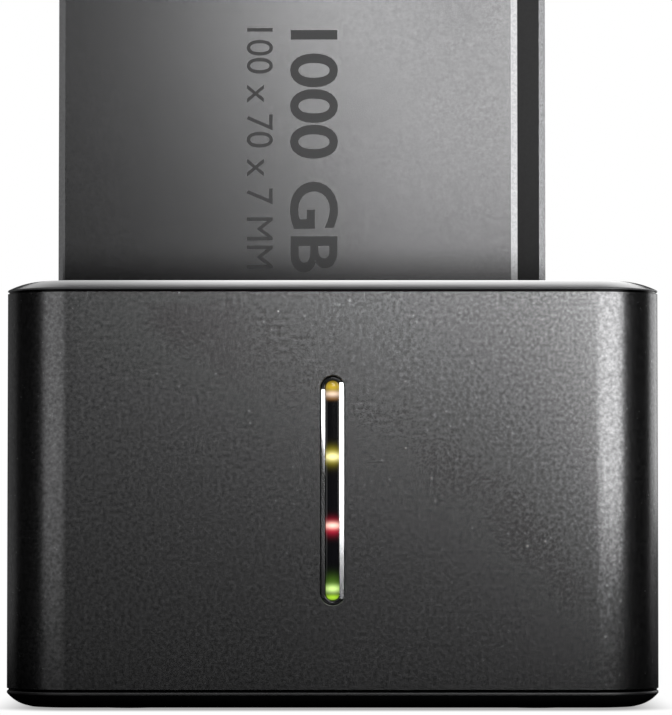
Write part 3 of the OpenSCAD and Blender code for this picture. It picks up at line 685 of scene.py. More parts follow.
@dataclass
class Shell:
    """Vertex and face arrays of one piece, in millimetres, gathered part by part."""

    points: list[Array] = field(default_factory=list)
    faces: list[list[int]] = field(default_factory=list)
    count: int = 0

    def grid(self, points: Array, wrap_rows: bool = False, wrap_columns: bool = True,
             open_at: tuple[tuple[int, int], ...] = ()) -> None:
        """Adds a surface given on a grid of two parameters.

        Args:
            points: rows by columns by three.
            wrap_rows: whether the last row joins the first.
            wrap_columns: whether the last column joins the first.
            open_at: row and column of faces that are left out.
        """
        rows, columns = points.shape[:2]
        index = np.arange(rows * columns).reshape(rows, columns) + self.count
        if wrap_columns:
            index = np.concatenate([index, index[:, :1]], 1)
        if wrap_rows:
            index = np.concatenate([index, index[:1]], 0)
        quads = np.stack([index[:-1, :-1], index[:-1, 1:], index[1:, 1:], index[1:, :-1]], -1)
        kept = np.ones(quads.shape[:2], bool)
        for row, column in open_at:
            kept[row, column] = False
        self._keep(points.reshape(-1, 3), quads[kept])

    def _keep(self, points: Array, faces: Array) -> None:
        """Stores points and the faces on them.

        Args:
            points: the points.
            faces: the numbers of each face's points.
        """
        self.points.append(points)
        self.faces.extend(faces.tolist())
        self.count += len(points)

    def loft(self, outline: RoundRect, section: Array, plane: Plane, closed: bool = False,
             open_at: tuple[tuple[int, int], ...] = ()) -> None:
        """Carries a section round an outline: outline_j + offset_i * normal_j, raised by height_i.

        Args:
            outline: the path.
            section: offset and height of each row.
            plane: where the outline lies.
            closed: whether the section is a closed loop.
            open_at: faces left out.
        """
        point, normal = outline.ring()
        flat = point[None] + section[:, None, :1] * normal[None]
        height = np.broadcast_to(section[:, None, 1], flat.shape[:2])
        self.grid(plane.at(flat, height), closed, True, open_at)

    def flat(self, loops: list[Array], plane: Plane, height: float = 0.0) -> None:
        """Fills the space between an outer loop and the loops of its holes.

        Args:
            loops: the outer loop, then one loop per hole.
            plane: where they lie.
            height: height above the plane.
        """
        spread = np.concatenate(loops)
        solid = [np.c_[loop, np.zeros(len(loop))].tolist() for loop in loops]
        self._keep(plane.at(spread, height), np.array(tessellate_polygon(solid)) + self.count)

    def face(self, outer: Array, holes: tuple[Hole, ...], plane: Plane, height: float = 0.0) -> None:
        """Adds a flat face with holes, and the holes' walls and floors.

        Args:
            outer: the face's outer loop.
            holes: its holes.
            plane: where it lies.
            height: height above the plane.
        """
        self.flat([outer, *[hole.shape.loop(hole.rows[0][0]) for hole in holes]], plane, height)
        for hole in holes:
            rows = np.stack([hole.shape.loop(grow) for grow, _ in hole.rows])
            depth = np.array([[height - deep] for _, deep in hole.rows])
            self.grid(plane.at(rows, np.broadcast_to(depth, rows.shape[:2])))
            if hole.floor:
                self.flat([rows[-1]], plane, height - hole.rows[-1][1])

    def piece(self, label: Label) -> None:
        """Makes the piece: merges doubles, turns faces outwards and dresses it.

        Args:
            label: the piece's name, body, slot and finish.
        """
        mesh = bpy.data.meshes.new(label.name)
        mesh.from_pydata((np.concatenate(self.points) * MM).tolist(), [], self.faces)
        work = bmesh.new()
        work.from_mesh(mesh)
        bmesh.ops.remove_doubles(work, verts=work.verts, dist=MERGE)
        bmesh.ops.recalc_face_normals(work, faces=work.faces)
        work.to_mesh(mesh)
        work.free()
        label.place(mesh)


@dataclass
class Case:
    """The outer case: sleeve, top cover, base and feet."""

    width: float = 98.0
    depth: float = 66.0
    corner: float = 10.0
    wall: float = 2.4
    sleeve_z: tuple[float, float] = (3.0, 62.2)
    lip_z: tuple[float, float] = (2.7, 62.5)
    seam: float = 0.25
    edge: float = 0.08
    edge_arc: int = 6
    edge_step: float = 0.04
    # height of the painted shade strip at the top and at the bottom of the sleeve's skin
    painted_shade_edge: float = 0.1
    top_z: float = 64.1
    crown: tuple[float, float] = (5.8, 1.4)
    crown_land: float = 0.15
    crown_soft: float = 0.05
    mouth_edge: float = 0.8
    base_z: float = 0.3
    undercut: float = 4.2
    arc_top: float = 2.3
    arc_end: float = -80.0
    base_lip: float = 0.22
    base_land: float = 0.1
    sole: float = -3.5
    hidden_rim: float = -3.0
    light_slot: RoundRect = RoundRect(3.6, 34.1, 1.8, (0.0, 32.6), 12)
    light_edge: float = 0.1
    window: RoundRect = RoundRect(63.0, 16.5, 2.0, (0.0, 27.75), 8)
    window_edge: float = 0.25
    panel_screw_x: float = 34.8
    panel_screw_d: float = 2.3
    panel_sink: tuple[float, float] = (1.1, 1.2)
    mouths: tuple[RoundRect, ...] = (
        RoundRect(70.75, 10.2, 0.02, (-6.8, -16.75), 1),
        RoundRect(70.75, 10.2, 0.02, (-1.3, 7.25), 1),
    )
    foot: tuple[float, float] = (30.6, 20.0)
    foot_d: float = 9.6
    foot_seat: tuple[float, float] = (9.8, 1.0)
    foot_seat_edge: float = 0.15
    foot_top: float = 1.3
    foot_chamfer: float = 0.1
    foot_edge: float = 0.3
    foot_rim: float = -1.2
    foot_dish: tuple[float, float] = (-1.6, 0.15)
    tie: tuple[float, float] = (40.0, 26.0)
    tie_seat: tuple[float, float] = (6.0, 4.0)
    tie_seat_edge: float = 0.05
    vent: tuple[float, float] = (1.6, 28.0)
    vent_corner: float = 0.02
    vent_edge: float = 0.12
    vent_y: float = -7.0
    vent_pitch: float = 4.0
    vents_each_side: int = 3

    def outline(self) -> RoundRect:
        """The case's plan outline, with a strip beside each corner so that the flats shade flat."""
        return RoundRect(self.width, self.depth, self.corner, (0.0, 0.0), 40, 1.5)

    def sleeve(self) -> None:
        """Builds the sleeve: a closed wall section carried round the plan, with holes in front and back."""
        low, high = self.sleeve_z
        edge, step = self.edge, self.edge_step
        section = np.concatenate([
            [[-self.seam, self.lip_z[0]], [-self.seam, low]],
            rounded((-edge, low + edge), edge, -90, 0, self.edge_arc),
            [[0, low + edge + step], [0, high - edge - step]],
            rounded((-edge, high - edge), edge, 0, 90, self.edge_arc),
            [[-self.seam, high], [-self.seam, self.lip_z[1]], [-self.wall, self.lip_z[1]],
             [-self.wall, self.lip_z[0]]],
        ])
        outside, inside = self.edge_arc + 3, len(section) - 2
        outline = self.outline()
        columns = [outline.flat_column(side) for side in (Side.FRONT, Side.REAR)]
        shell = Shell()
        shell.loft(outline, section, level(), True,
                   tuple((row, column) for row in (outside, inside) for column in columns))
        half = self.width / 2 - self.corner - outline.strip
        sink_rows = ((self.panel_sink[0], 0.0), (0.0, self.panel_sink[1]), (0.0, self.wall))
        screws = [Hole(circle(self.panel_screw_d, x, self.window.centre[1]), sink_rows)
                  for x in (-self.panel_screw_x, self.panel_screw_x)]
        light = edged(self.light_slot, self.light_edge, self.wall)
        window = edged(self.window, self.window_edge, self.wall)
        for facing, holes in ((-1, (light,)), (1, (window, *screws))):
            plane = upright(facing * self.depth / 2, facing)
            shell.face(oblong((-half, half), section[outside:outside + 2, 1]), holes, plane)
            inner = [hole.shape.loop() for hole in holes]
            shell.flat([oblong((-half, half), self.lip_z), *inner], plane, -self.wall)
        # painted shade: the seam lips and a thin strip at the top and bottom of the skin take the finish's
        # near-black edge tone
        skin = replace(GRAPHITE, centre=(0.0, (low + high) / 2),
                       half=(self.width, (high - low) / 2 - self.painted_shade_edge))
        shell.piece(Label("sleeve_skin", Body.DOCK, "sleeve_metal", skin, ("outer_sleeve",)))

    def top_cover(self) -> None:
        """Builds the top cover: a low crown on a thin rim, carried round the plan, with two bay mouths."""
        low = self.lip_z[1]
        wide, fall = self.crown
        height, inner, soft = self.top_z - low, -wide - self.crown_land, self.crown_soft
        radius = (wide ** 2 + fall ** 2) / (2 * fall)
        start = math.degrees(math.acos((wide - soft) / radius))
        section = np.concatenate([
            [[inner, low], [-soft, low]],
            rounded((-soft, low + soft), soft, -90, 0, 2),
            [[0.0, self.top_z - fall - soft]],
            rounded((-wide, self.top_z - radius), radius, start, 90, 24),
            [[inner, self.top_z]],
        ])
        outline = self.outline()
        shell = Shell()
        shell.loft(outline, section, level())
        rim = outline.loop(inner)
        holes = tuple(edged(mouth, self.mouth_edge, height) for mouth in self.mouths)
        shell.face(rim, holes, level(self.top_z))
        shell.flat([rim, *[mouth.loop() for mouth in self.mouths]], level(low))
        shell.piece(Label("top_rim", Body.DOCK, "satin_black", SATIN_TOP, ("top_cover",)))

    @staticmethod
    def corners(place: tuple[float, float]) -> list[tuple[float, float]]:
        """A place and its three mirrored ones."""
        return [(x * place[0], y * place[1]) for x in (-1, 1) for y in (-1, 1)]

    def base(self) -> None:
        """Builds the base: an arc under a round lip carried round the plan, over a sole with its holes."""
        top, lip = self.lip_z[0], self.base_lip
        rise = self.arc_top - self.base_z
        radius = (self.undercut ** 2 + rise ** 2) / (2 * rise)
        reach = math.degrees(math.asin(self.undercut / radius))
        section = np.concatenate([
            [[self.hidden_rim, top], [-lip - self.base_land, top]],
            rounded((-lip, top - lip), lip, 90, 0, 6),
            rounded((-self.undercut, self.base_z + radius), radius, reach - 90, self.arc_end, 14),
            [[self.sole, self.base_z]],
        ])
        outline = self.outline()
        shell = Shell()
        shell.loft(outline, section, level())
        feet = [edged(circle(self.foot_seat[0], *place, 12), self.foot_seat_edge, self.foot_seat[1], True)
                for place in self.corners(self.foot)]
        screws = [edged(circle(self.tie_seat[0], *place, 10), self.tie_seat_edge, self.tie_seat[1], True)
                  for place in self.corners(self.tie)]
        slots = [RoundRect(*self.vent, self.vent_corner, (self.vent_pitch * step, self.vent_y), 1)
                 for step in range(-self.vents_each_side, self.vents_each_side + 1)]
        vents = [edged(slot, self.vent_edge, top - self.base_z) for slot in slots]
        shell.face(outline.loop(self.sole), (*feet, *screws, *vents), under(self.base_z))
        shell.flat([outline.loop(self.hidden_rim), *[slot.loop() for slot in slots]], level(top))
        shell.piece(Label("base_shell", Body.DOCK, "base_black", BASE_BLACK, ("base_tray",)))

    def feet(self) -> None:
        """Builds the four feet: a low disc with a soft lower edge and a shallow dish."""
        edge, top = self.foot_edge, self.foot_top
        section = np.concatenate([
            [[-self.foot_chamfer, top], [0, top - self.foot_chamfer], [0, edge]],
            rounded((-edge, edge), edge, 0, -90, 5),
            [[self.foot_rim, 0.0], self.foot_dish],
        ])
        shell = Shell()
        for place in self.corners(self.foot):
            disc = circle(self.foot_d, *place, 14)
            shell.loft(disc, section, level())
            for inset, height in (section[0], section[-1]):
                shell.flat([disc.loop(inset)], level(height))
        shell.piece(Label("feet_pads", Body.DOCK, "foot_rubber", RUBBER, ("rubber_feet",)))

    def build(self) -> None:
        """Builds every piece of the case."""
        self.sleeve()
        self.top_cover()
        self.base()
        self.feet()


@dataclass(frozen=True)
class Blade:
    """A chrome strip beside the lens: its ends, its edges, and how it turns about its length."""

    name: str
    z: tuple[float, float]
    x: tuple[float, float]
    lean: tuple[float, float]
    arch: float = 0.012
    tip: float = 0.012
    rows: int = 48
    columns: int = 7

    def build(self, front: float, back: float) -> None:
        """Builds the strip: a low arch across, carried down between two straight edges, with round tips.

        A point at t across falls back by lean * (x - left) less arch * t * (1 - t). The lean goes evenly from
        its upper to its lower value.

        Args:
            front: depth of the proud edge.
            back: depth of the strip's hidden face.
        """
        middle = np.linspace(self.tip, 1 - self.tip, self.rows)
        down = np.concatenate([[0.0, self.tip / 3], middle, [1 - self.tip / 3, 1.0]])
        full = np.clip(np.minimum(down, 1 - down) / self.tip, 0, 1)[:, None] ** 0.5
        height = self.z[0] + (self.z[1] - self.z[0]) * down
        lean = self.lean[0] + (self.lean[1] - self.lean[0]) * down
        across = np.linspace(0, 1, self.columns)
        left, right = self.x
        x = left + (right - left) * (0.5 + (across - 0.5) * full)
        face = front + lean[:, None] * (x - left) - self.arch * across * (1 - across)
        y = np.concatenate([face, np.full((len(down), 2), back)], 1)
        y = back + (y - back) * full
        x = np.concatenate([x, x[:, -1:], x[:, :1]], 1)
        shell = Shell()
        shell.grid(np.stack([x, y, np.broadcast_to(height[:, None], x.shape)], -1))
        shell.piece(Label(self.name, Body.DOCK, "chrome_trim", CHROME))


@dataclass
class LightWindow:
    """The upright light window: a gloss black ring, two chrome blades and the smoked lens between them."""

    front: float = -33.0
    middle: tuple[float, float] = (0.0, 32.6)
    ring_size: tuple[float, float] = (3.5, 34.0)
    rim: float = 0.7
    rim_rise: tuple[float, float] = (-0.6, 0.25)
    lens_size: tuple[float, float] = (2.0, 32.5)
    lens_edge: float = 0.08
    lens_edge_z: float = -0.36
    lens_crown: tuple[float, float] = (-0.5, -0.27)
    lens_flat: tuple[float, float] = (-0.8, -0.25)
    depth: float = 2.4
    blade_y: tuple[float, float] = (0.06, 0.7)
    blades: tuple[Blade, ...] = (
        Blade("light_blade_left", (47.9, 16.4), (-1.66, -1.15), (0.31, -0.09)),
        Blade("light_blade_right", (49.0, 16.2), (1.04, 1.71), (0.36, 0.32)),
    )

    def ring(self) -> None:
        """Builds the ring: a low half-round rim on straight walls, carried round the slot."""
        width, height = self.ring_size
        half = self.rim / 2
        turn = np.linspace(0, np.pi, 13)
        crown = np.stack([half * np.cos(turn) - half, self.rim_rise[1] * np.sin(turn) + self.rim_rise[0]], -1)
        section = np.concatenate([[[0, -self.depth]], crown, [[-self.rim, -self.depth]]])
        slot = RoundRect(width, height, width / 2, self.middle, 16)
        shell = Shell()
        shell.loft(slot, section, upright(self.front, -1), True)
        shell.piece(Label("light_ring", Body.DOCK, "chrome_trim", GLOSS_BLACK, ("led_bezel",)))

    def lens(self) -> None:
        """Builds the lens: a crowned front with soft edges, carried round the slot and closed."""
        width, height = self.lens_size
        slot = RoundRect(width, height, width / 2, self.middle, 14)
        section = np.concatenate([
            [[0, -self.depth]],
            rounded((-self.lens_edge, self.lens_edge_z), self.lens_edge, 0, 70, 4),
            [self.lens_crown, self.lens_flat],
        ])
        shell = Shell()
        plane = upright(self.front, -1)
        shell.loft(slot, section, plane)
        shell.flat([slot.loop(self.lens_flat[0])], plane, self.lens_flat[1])
        shell.flat([slot.loop()], plane, -self.depth)
        shell.piece(Label("light_lens", Body.DOCK, "smoke_lens", LENS, ("light_bar",)))

    def build(self) -> None:
        """Builds the ring, the blades and the lens."""
        self.ring()
        for blade in self.blades:
            blade.build(*(self.front + deep for deep in self.blade_y))
        self.lens()


@dataclass
class Drive:
    """A docked drive: its cover, its back plate and the print on its face."""

    name: str
    body: Body
    x: float
    y: float
    z: float = 34.1
    width: float = 69.85
    length: float = 100.2
    thickness: float = 7.0
    back: float = 1.6
    corner: float = 1.4
    bevel: tuple[float, float] = (1.0, 0.4)
    seam: float = 0.08
    seam_land: float = 0.02
    finish: TwoToneFinish = DRIVE_METAL
    edge_tone: float = 2.0
    bare_behind: float = 0.02
    crisp: float = 12.0
    land: float = 0.6
    side_top: float = 0.25
    lap: float = 1.2
    mount_d: float = 2.5
    mount_edge: float = 0.2
    mount_in: float = 4.07
    mount_y: float = 3.0
    mount_deep: tuple[float, float] = (2.4, 1.5)
    mount_z: tuple[float, float] = (14.0, 90.6)
    seat_d: float = 3.3
    seat_edge: float = 0.15
    seat_in: float = 3.4
    seat_deep: float = 0.8
    plate_bevel: float = 0.3
    plate_land: float = 0.4
    screw_z: tuple[float, float] = (4.6, 95.6)
    plug_mouth: tuple[float, float] = (37.0, 3.9)
    plug_corner: float = 0.3
    plug_edge: float = 0.1
    plug_place: tuple[float, float] = (4.8, 3.15)
    plug_deep: float = 6.28

    def __post_init__(self) -> None:
        """Fits the finish's bare edge to this drive's flat face."""
        flat = (self.width / 2 - self.bevel[0], self.length / 2 - self.bevel[0])
        self.finish = replace(self.finish, edge_tone=self.edge_tone, half=flat, centre=self.outline().centre,
                              behind=self.y + self.bevel[1] + self.bare_behind)

    def outline(self) -> RoundRect:
        """The drive's outline seen from the front."""
        return RoundRect(self.width, self.length, self.corner, (self.x, self.z + self.length / 2), 8, 0.6)

    def wall(self, section: Array, open_at: tuple[tuple[int, int], ...] = ()) -> Shell:
        """Starts a shell with an edge section carried round the outline.

        Args:
            section: offset and height of each row.
            open_at: faces left out.

        Returns:
            The shell.
        """
        shell = Shell()
        shell.loft(self.outline(), section, upright(self.y, -1), False, open_at)
        return shell

    def cover(self) -> None:
        """Builds the cover: a bevelled edge carried round the outline, with side holes and a plug mouth."""
        deep = self.thickness - self.back
        wide, drop = self.bevel
        side = 3
        section = np.array([
            [-wide - self.land, 0.0], [-wide, 0.0], [0.0, -drop],
            [0.0, -drop - self.side_top], [0.0, self.seam - deep + self.seam_land],
            [-self.seam, -deep], [-self.lap, -deep],
        ])
        outline = self.outline()
        open_sides = (Side.LEFT, Side.FRONT, Side.RIGHT)
        shell = self.wall(section, tuple((side, outline.flat_column(open_side)) for open_side in open_sides))
        for row in (section[0], section[-1]):
            shell.flat([outline.loop(row[0])], upright(self.y, -1), row[1])
        across = tuple(self.y - section[side:side + 2, 1])
        inset = self.corner + outline.strip
        up = (self.z + inset, self.z + self.length - inset)
        holes = tuple(edged(circle(self.mount_d, self.y + self.thickness - self.mount_y, self.z + z),
                            self.mount_edge, self.mount_deep[0], True) for z in self.mount_z)
        for facing in (-1, 1):
            shell.face(oblong(across, up), holes, sideways(self.x + facing * self.width / 2, facing))
        half = self.width / 2 - inset
        place = (self.x + self.plug_place[0], self.y + self.plug_place[1])
        mouth = edged(RoundRect(*self.plug_mouth, self.plug_corner, place, 2), self.plug_edge,
                      self.plug_deep, True)
        shell.face(oblong((self.x - half, self.x + half), across), (mouth,), under(self.z))
        shell.piece(Label(f"{self.name}_cover_skin", self.body, "drive_metal", self.finish,
                          (f"{self.name}_cover",), self.crisp))

    def plate(self) -> None:
        """Builds the back plate: a bevelled edge carried round the outline, with seats and mount holes."""
        deep = self.thickness - self.back
        section = np.array([
            [-self.lap, -deep], [-self.seam, -deep], [0.0, -deep - self.seam],
            [0.0, self.plate_bevel - self.thickness], [-self.plate_bevel, -self.thickness],
            [-self.plate_bevel - self.plate_land, -self.thickness],
        ])
        seats = (self.seat_d, self.seat_in, self.seat_edge, self.seat_deep, self.screw_z)
        mounts = (self.mount_d, self.mount_in, self.mount_edge, self.mount_deep[1], self.mount_z)
        holes = tuple(
            edged(circle(d, self.x + side * (self.width / 2 - inset), self.z + z), edge, hole_deep, True)
            for side in (-1, 1)
            for d, inset, edge, hole_deep, rows in (seats, mounts)
            for z in rows)
        shell = self.wall(section)
        outline = self.outline()
        shell.flat([outline.loop(section[0, 0])], upright(self.y, -1), -deep)
        shell.face(outline.loop(section[-1, 0]), holes, upright(self.y + self.thickness, 1))
        shell.piece(Label(f"{self.name}_back_skin", self.body, "drive_metal", PLATE_METAL,
                          (f"{self.name}_back",), self.crisp))

    def build(self) -> None:
        """Builds the cover and the back plate."""
        self.cover()
        self.plate()


@dataclass(frozen=True)
class Print:
    """A line of plain numbers printed on a drive, read from the top down."""

    name: str
    words: str
    right: float
    cap: float
    top: float
    length: float
    bold: float
    proud: float = 0.004
    film: float = 0.01

    def build(self, drive: Drive) -> None:
        """Sets the line, turns it a quarter clockwise and fits it to its cap height and length.

        Args:
            drive: the drive that carries the print.
        """
        curve = bpy.data.curves.new(self.name, "FONT")
        curve.body = self.words
        curve.offset = self.bold
        curve.resolution_u = 6
        curve.extrude = 1.0
        holder = show(self.name, curve)
        bpy.context.view_layer.update()
        mesh = bpy.data.meshes.new_from_object(holder.evaluated_get(bpy.context.evaluated_depsgraph_get()))
        bpy.data.objects.remove(holder)
        flat = np.empty(len(mesh.vertices) * 3)
        mesh.vertices.foreach_get("co", flat)
        flat = flat.reshape(-1, 3)
        low, high = flat.min(0), flat.max(0)
        along = (flat[:, 0] - low[0]) / (high[0] - low[0]) * self.length
        up = (flat[:, 1] - low[1]) / (high[1] - low[1]) * self.cap
        proud = drive.y - self.proud - self.film * flat[:, 2]
        placed = np.stack([self.right - self.cap + up, proud, self.top - along], -1)
        mesh.vertices.foreach_set("co", (placed * MM).ravel())
        mesh.update()
        Label(self.name, drive.body, "satin_black", PRINT_GREY).place(mesh)


@dataclass(frozen=True)
class RockerMarks:
    """The bar and the ring printed on the two halves of the power rocker."""

    axis: Point = (-21.0, 29.8, 27.75)
    tilt: float = -9.0
    half: float = 5.4
    fold: tuple[float, float] = (1.2, 2.2)
    tall: float = 2.6
    line: float = 0.4
    proud: float = 0.02

    def face(self, side: int) -> Plane:
        """The plane of one half of the rocker's folded face, turned as the rocker rests.

        Args:
            side: -1 for the half at low X, 1 for the other.

        Returns:
            The plane, its origin in the half's middle.
        """
        turn = math.radians(self.tilt)
        slope = side * math.atan2(self.fold[1] - self.fold[0], self.half) + turn
        across, deep = side * self.half / 2, sum(self.fold) / 2
        origin = (self.axis[0] + across * math.cos(turn) - deep * math.sin(turn),
                  self.axis[1] + across * math.sin(turn) + deep * math.cos(turn), self.axis[2])
        return Plane(origin, (math.cos(slope), math.sin(slope), 0.0), (0.0, 0.0, 1.0),
                     (-math.sin(slope), math.cos(slope), 0.0))

    def build(self) -> None:
        """Builds the marks: a flat section carried round a circle, and a bar with its two faces filled."""
        section = np.array([[0.0, 0.0], [0.0, self.proud], [-self.line, self.proud], [-self.line, 0.0]])
        ring, bar = Shell(), Shell()
        ring.loft(circle(self.tall, 0.0, 0.0, 10), section, self.face(-1), True)
        outline = RoundRect(self.line, self.tall, self.line / 4, (0.0, 0.0), 3)
        bar.loft(outline, section[:2], self.face(1))
        for height in section[:2, 1]:
            bar.flat([outline.loop()], self.face(1), height)
        ring.piece(Label("rocker_mark_ring", Body.ROCKER, "rocker_black", PRINT_PALE))
        bar.piece(Label("rocker_mark_bar", Body.ROCKER, "rocker_black", PRINT_PALE))


@dataclass
class CadDress:
    """Finishes for the CAD nodes that stay in view as they are."""

    edge_mm: float = 0.08
    edge_angle: float = 40.0
    weld: float = 2e-6
    finishes: dict[str, Finish] = field(default_factory=lambda: {
        "case_screws": STEEL, "front_bay_well": WELL_BLACK, "rear_bay_well": WELL_BLACK, "bay_screws": STEEL,
        "light_baffle": WELL_BLACK, "led_board": SOLDER_MASK, "led_board_screws": STEEL, **LAMPS,
        "led_header": CHIP, "led_header_pins": GOLD, "main_board": SOLDER_MASK, "board_screws": STEEL,
        "front_sata_socket": PORT_BLACK, "rear_sata_socket": PORT_BLACK, "front_sata_contacts": GOLD,
        "rear_sata_contacts": GOLD, "bridge_chip": CHIP, "support_chips": CHIP, "capacitors": CAN,
        "power_inductors": CHIP, "crystal": CAN, "rear_panel": WELL_BLACK, "panel_screws": STEEL,
        "usb_shell": PLATED, "usb_core": PORT_BLACK, "dc_jack": PORT_BLACK, "dc_jack_pin": PLATED,
        "power_switch_case": PORT_BLACK, "power_switch_terminals": GOLD, "power_rocker": ROCKER_BLACK,
        "copy_button": BUTTON_GREY, "copy_plunger": CAN, "copy_switch": CHIP,
    })
    softened: tuple[str, ...] = (
        "rear_panel", "usb_shell", "usb_core", "dc_jack", "dc_jack_pin", "power_switch_case", "power_rocker",
        "copy_button", "panel_screws", "front_bay_well", "rear_bay_well")

    def dress(self) -> None:
        """Gives each node its finish, and a small live bevel to those that are seen."""
        for drive in ("front_drive", "rear_drive"):
            self.finishes.update({
                f"{drive}_board": SOLDER_MASK, f"{drive}_chips": CHIP, f"{drive}_plug": PORT_BLACK,
                f"{drive}_contacts": GOLD, f"{drive}_screws": STEEL})
        for name, finish in self.finishes.items():
            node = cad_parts[name]
            node.data.materials.clear()
            node.data.materials.append(finish.material())
            if name in self.softened:
                self.soften(node)
            LOG.info("node %s dressed as %s", name, finish.name)

    def soften(self, node: bpy.types.Object) -> None:
        """Adds a weld and a narrow bevel.

        Args:
            node: the CAD node's object.
        """
        weld = node.modifiers.new("weld", "WELD")
        weld.merge_threshold = self.weld
        bevel = node.modifiers.new("soft_edge", "BEVEL")
        bevel.width = self.edge_mm * MM
        bevel.segments = 2
        bevel.limit_method = "ANGLE"
        bevel.angle_limit = math.radians(self.edge_angle)
        bevel.harden_normals = True


@dataclass(frozen=True)
class SoftBox:
    """A rectangular studio lamp, placed by its bearing round the front face's middle, in millimetres.

    Bearing 0 is straight in front and 90 is on the right. Brightness is what a mirror would show.
    """

    name: str
    bearing: float
    away: float
    z: float
    size: tuple[float, float]
    brightness: float
    aim: Point = (0.0, -33.0, 45.0)

    def build(self) -> None:
        """Makes the lamp, out of the camera's sight: power = pi * area * brightness."""
        lamp = bpy.data.lights.new(self.name, "AREA")
        lamp.shape = "RECTANGLE"
        lamp.size, lamp.size_y = (side * MM for side in self.size)
        lamp.energy = math.pi * lamp.size * lamp.size_y * self.brightness
        turn = math.radians(self.bearing)
        x, y = self.aim[0] + self.away * math.sin(turn), self.aim[1] - self.away * math.cos(turn)
        place = Vector((x, y, self.z))
        made = show(self.name, lamp)
        made.location = place * MM
        made.rotation_euler = (Vector(self.aim) - place).to_track_quat("-Z", "Y").to_euler()
        made.visible_camera = False


@dataclass(frozen=True)
class Card:
    """An upright studio card, out of the camera's sight, in millimetres.

    A white card shines towards the front, dims to the left and is clear from behind. A black one shades
    what stands close behind it, less and less towards its top, as the case below does.
    """

    name: str
    x: tuple[float, float]
    y: float
    z: tuple[float, float]
    brightness: float
    dimmed: float = 0.5
    dim_x: tuple[float, float] = (-40.0, -10.0)
    shade: float = 0.8

    def build(self) -> None:
        """Makes the card: a white one's light is a ramp along X, a black one's alpha a ramp along Z."""
        book = MaterialBook(self.name)
        book.surface(UNLIT)
        if self.brightness:
            behind = book.add("ShaderNodeNewGeometry", {}, {}, "Backfacing")
            light = book.ramp(book.axis_mm("X"), self.dim_x, (self.dimmed, 1.0))
            book.surface({"Alpha": 1.0 - behind, "Emission Color": book.tinted(WHITE, light),
                          "Emission Strength": self.brightness})
        else:
            book.surface({"Alpha": book.ramp(book.axis_mm("Z"), self.z, (self.shade, 0.0))})
        corners = upright(self.y, -1).at(oblong(self.x, self.z)) * MM
        made = stage_sheet(self.name, corners, np.arange(4)[None], book.material)
        made.visible_camera = False
        made.visible_diffuse = False
        made.visible_shadow = not self.brightness


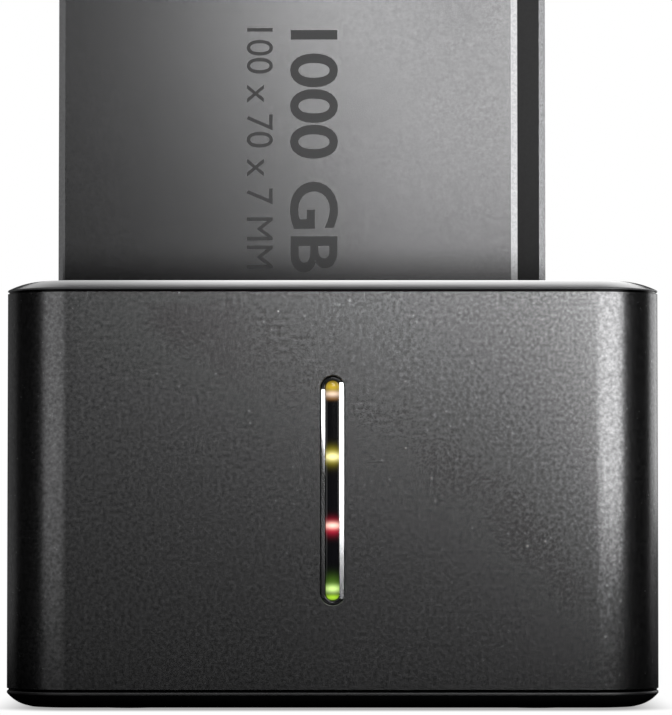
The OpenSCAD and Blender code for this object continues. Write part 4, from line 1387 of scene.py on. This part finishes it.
@dataclass
class Studio:
    """Camera, lamps, cards, white surroundings and the pale floor."""

    lens: float = 201.03
    camera_place: Point = (0.5, -625.2, 29.53)
    tilt: float = 2.203
    sensor: float = 36.0
    clip: tuple[float, float] = (0.01, 50.0)
    ambient: float = 0.008
    dome: float = 0.7
    dome_rise: tuple[float, float] = (30.0, 60.0)
    plan: tuple[float, float] = (39.0, 23.0)
    plan_corner: float = 10.0
    sheet: float = 0.6
    sheet_near: tuple[float, float] = (4.0, 20.0)
    sheet_far: tuple[float, float] = (200.0, 450.0)
    sheet_steep: tuple[float, float] = (0.24, 0.48)
    back_sheet: float = 0.75
    back_y: tuple[float, float] = (25.0, 80.0)
    back_steep: tuple[float, float] = (0.04, 0.14)
    contact: tuple[float, float] = (-5.0, 4.0)
    contact_shade: float = 0.4
    open_under: float = -6.0
    floor_reach: float = 3.0
    floor_z: float = -0.00002
    floor_rows: int = 9
    mottle_mm: float = 40.0
    mottle: float = 0.02
    lamps: tuple[SoftBox, ...] = (
        SoftBox("key_right", 43.6, 110.0, 91.0, (93.0, 139.0), 4.0),
        SoftBox("fill_left", -39.8, 218.0, 116.0, (150.0, 209.0), 0.79),
        SoftBox("front_low", 3.5, 640.0, 144.0, (60.0, 60.0), 11.4),
        SoftBox("front_high", 0.4, 500.0, 185.0, (41.0, 40.0), 17.9),
        SoftBox("rim_right", 134.2, 395.0, 134.0, (250.0, 215.0), 1.42),
        SoftBox("rim_left", -132.1, 361.0, 102.0, (250.0, 210.0), 0.12),
        SoftBox("front_top", 0.0, 250.0, 420.0, (300.0, 150.0), 1.5),
    )
    cards: tuple[Card, ...] = (
        Card("rim_card", (-49.0, 49.0), -26.5, (64.2, 68.4), 3.0),
        Card("front_flag", (-42.0, 30.0), -19.8, (63.0, 71.0), 0.0),
        Card("rear_flag", (-36.5, 35.5), 4.2, (63.0, 71.0), 0.0),
    )

    def camera(self) -> None:
        """Places the camera in front, low, tilted up at the photograph's angle."""
        data = bpy.data.cameras.new("camera")
        data.lens = self.lens
        data.sensor_width = self.sensor
        data.clip_start, data.clip_end = self.clip
        made = show("camera", data)
        made.location = Vector(self.camera_place) * MM
        made.rotation_euler = (math.radians(90 + self.tilt), 0.0, 0.0)
        bpy.context.scene.camera = made

    def surroundings(self) -> None:
        """White where the camera looks past the object; a soft dome above and below, dim near the horizon."""
        world = bpy.data.worlds.new("surroundings")
        world.use_nodes = True
        book = NodeBook(world.node_tree)
        seen = book.add("ShaderNodeLightPath", {}, {}, "Is Camera Ray")
        way = book.add("ShaderNodeTexCoord", {}, {}, "Generated")
        height = book.add("ShaderNodeSeparateXYZ", {}, {0: way}, "Z")
        rise = tuple(math.sin(math.radians(angle)) for angle in self.dome_rise)
        light = seen.most(book.ramp(height.size(), rise, (self.ambient, self.dome)))
        shown = book.add("ShaderNodeBackground", {}, {"Color": book.tinted(WHITE, light)})
        book.feed(world.node_tree.nodes["World Output"].inputs["Surface"], shown)
        bpy.context.scene.world = world

    def floor(self) -> None:
        """A pale floor: white to the camera but for a contact shade; in reflections a sheet that fades out.

        Distance is taken from the case's rounded plan. The sheet's light is a step up times a step down of
        it, and shows only where it is met steeply, as a matt sheet below a grid does; behind the object it
        shows at all but the flattest angles. From below the floor is clear, and light passes under the case.
        """
        book = MaterialBook("pale_floor")
        seen = book.add("ShaderNodeLightPath", {}, {}, "Is Camera Ray")
        past = [(book.axis_mm(axis).size() - half).most(0.0) for axis, half in zip("XY", self.plan)]
        away = (past[0] * past[0] + past[1] * past[1]) ** 0.5 - self.plan_corner
        steep = 1.0 - book.add("ShaderNodeLayerWeight", {}, {"Blend": 0.5}, "Facing")
        back = book.ramp(book.axis_mm("Y"), self.back_y, (0.0, self.back_sheet))
        sheet = (book.ramp(steep, self.sheet_steep, (0.0, self.sheet))
                 .most(back * book.ramp(steep, self.back_steep, (0.0, 1.0))))
        sheet = sheet * book.ramp(away, self.sheet_near, (0.0, 1.0))
        sheet = sheet * book.ramp(away, self.sheet_far, (1.0, 0.0))
        plain = seen * book.ramp(away, self.contact, (self.contact_shade, 1.0))
        light = plain + (1.0 - seen) * sheet * (book.noise(self.mottle_mm) * self.mottle + 1.0)
        below = book.add("ShaderNodeNewGeometry", {}, {}, "Backfacing")
        book.surface({**UNLIT, "Emission Color": book.tinted(WHITE, light), "Emission Strength": 1.0,
                      "Alpha": (1.0 - below) * away.step(self.open_under).most(seen)})
        span = np.linspace(-self.floor_reach, self.floor_reach, self.floor_rows)
        x, y = np.meshgrid(span, span, indexing="ij")
        index = np.arange(self.floor_rows ** 2).reshape(x.shape)
        quads = np.stack([index[:-1, :-1], index[1:, :-1], index[1:, 1:], index[:-1, 1:]], -1).reshape(-1, 4)
        points = np.stack([x, y, np.full_like(x, self.floor_z)], -1).reshape(-1, 3)
        stage_sheet("floor", points, quads, book.material)

    def build(self) -> None:
        """Sets up the whole studio."""
        bpy.context.scene.view_settings.view_transform = "Standard"
        self.camera()
        self.surroundings()
        self.floor()
        for light in (*self.lamps, *self.cards):
            light.build()


def main() -> None:
    """Builds every sub-assembly in order."""
    logging.basicConfig(level=logging.INFO, format="%(name)s %(message)s")
    Studio().build()
    Case().build()
    LightWindow().build()
    front = Drive("front_drive", Body.FRONT_DRIVE, -6.8, -19.0)
    # the rear drive's near-black finish is painted shade from the front drive
    rear = Drive("rear_drive", Body.REAR_DRIVE, -1.3, 5.0, finish=DRIVE_PAINTED_SHADE, edge_tone=46.0)
    for drive in (front, rear):
        drive.build()
    for line in (Print("print_bold", "1000 GB", 0.8, 7.3, 102.8, 37.0, 0.018),
                 Print("print_thin", "100 x 70 x 7 MM", -9.1, 4.0, 103.1, 36.7, 0.0)):
        line.build(front)
    RockerMarks().build()
    CadDress().dress()


if __name__ == "__main__":
    main()
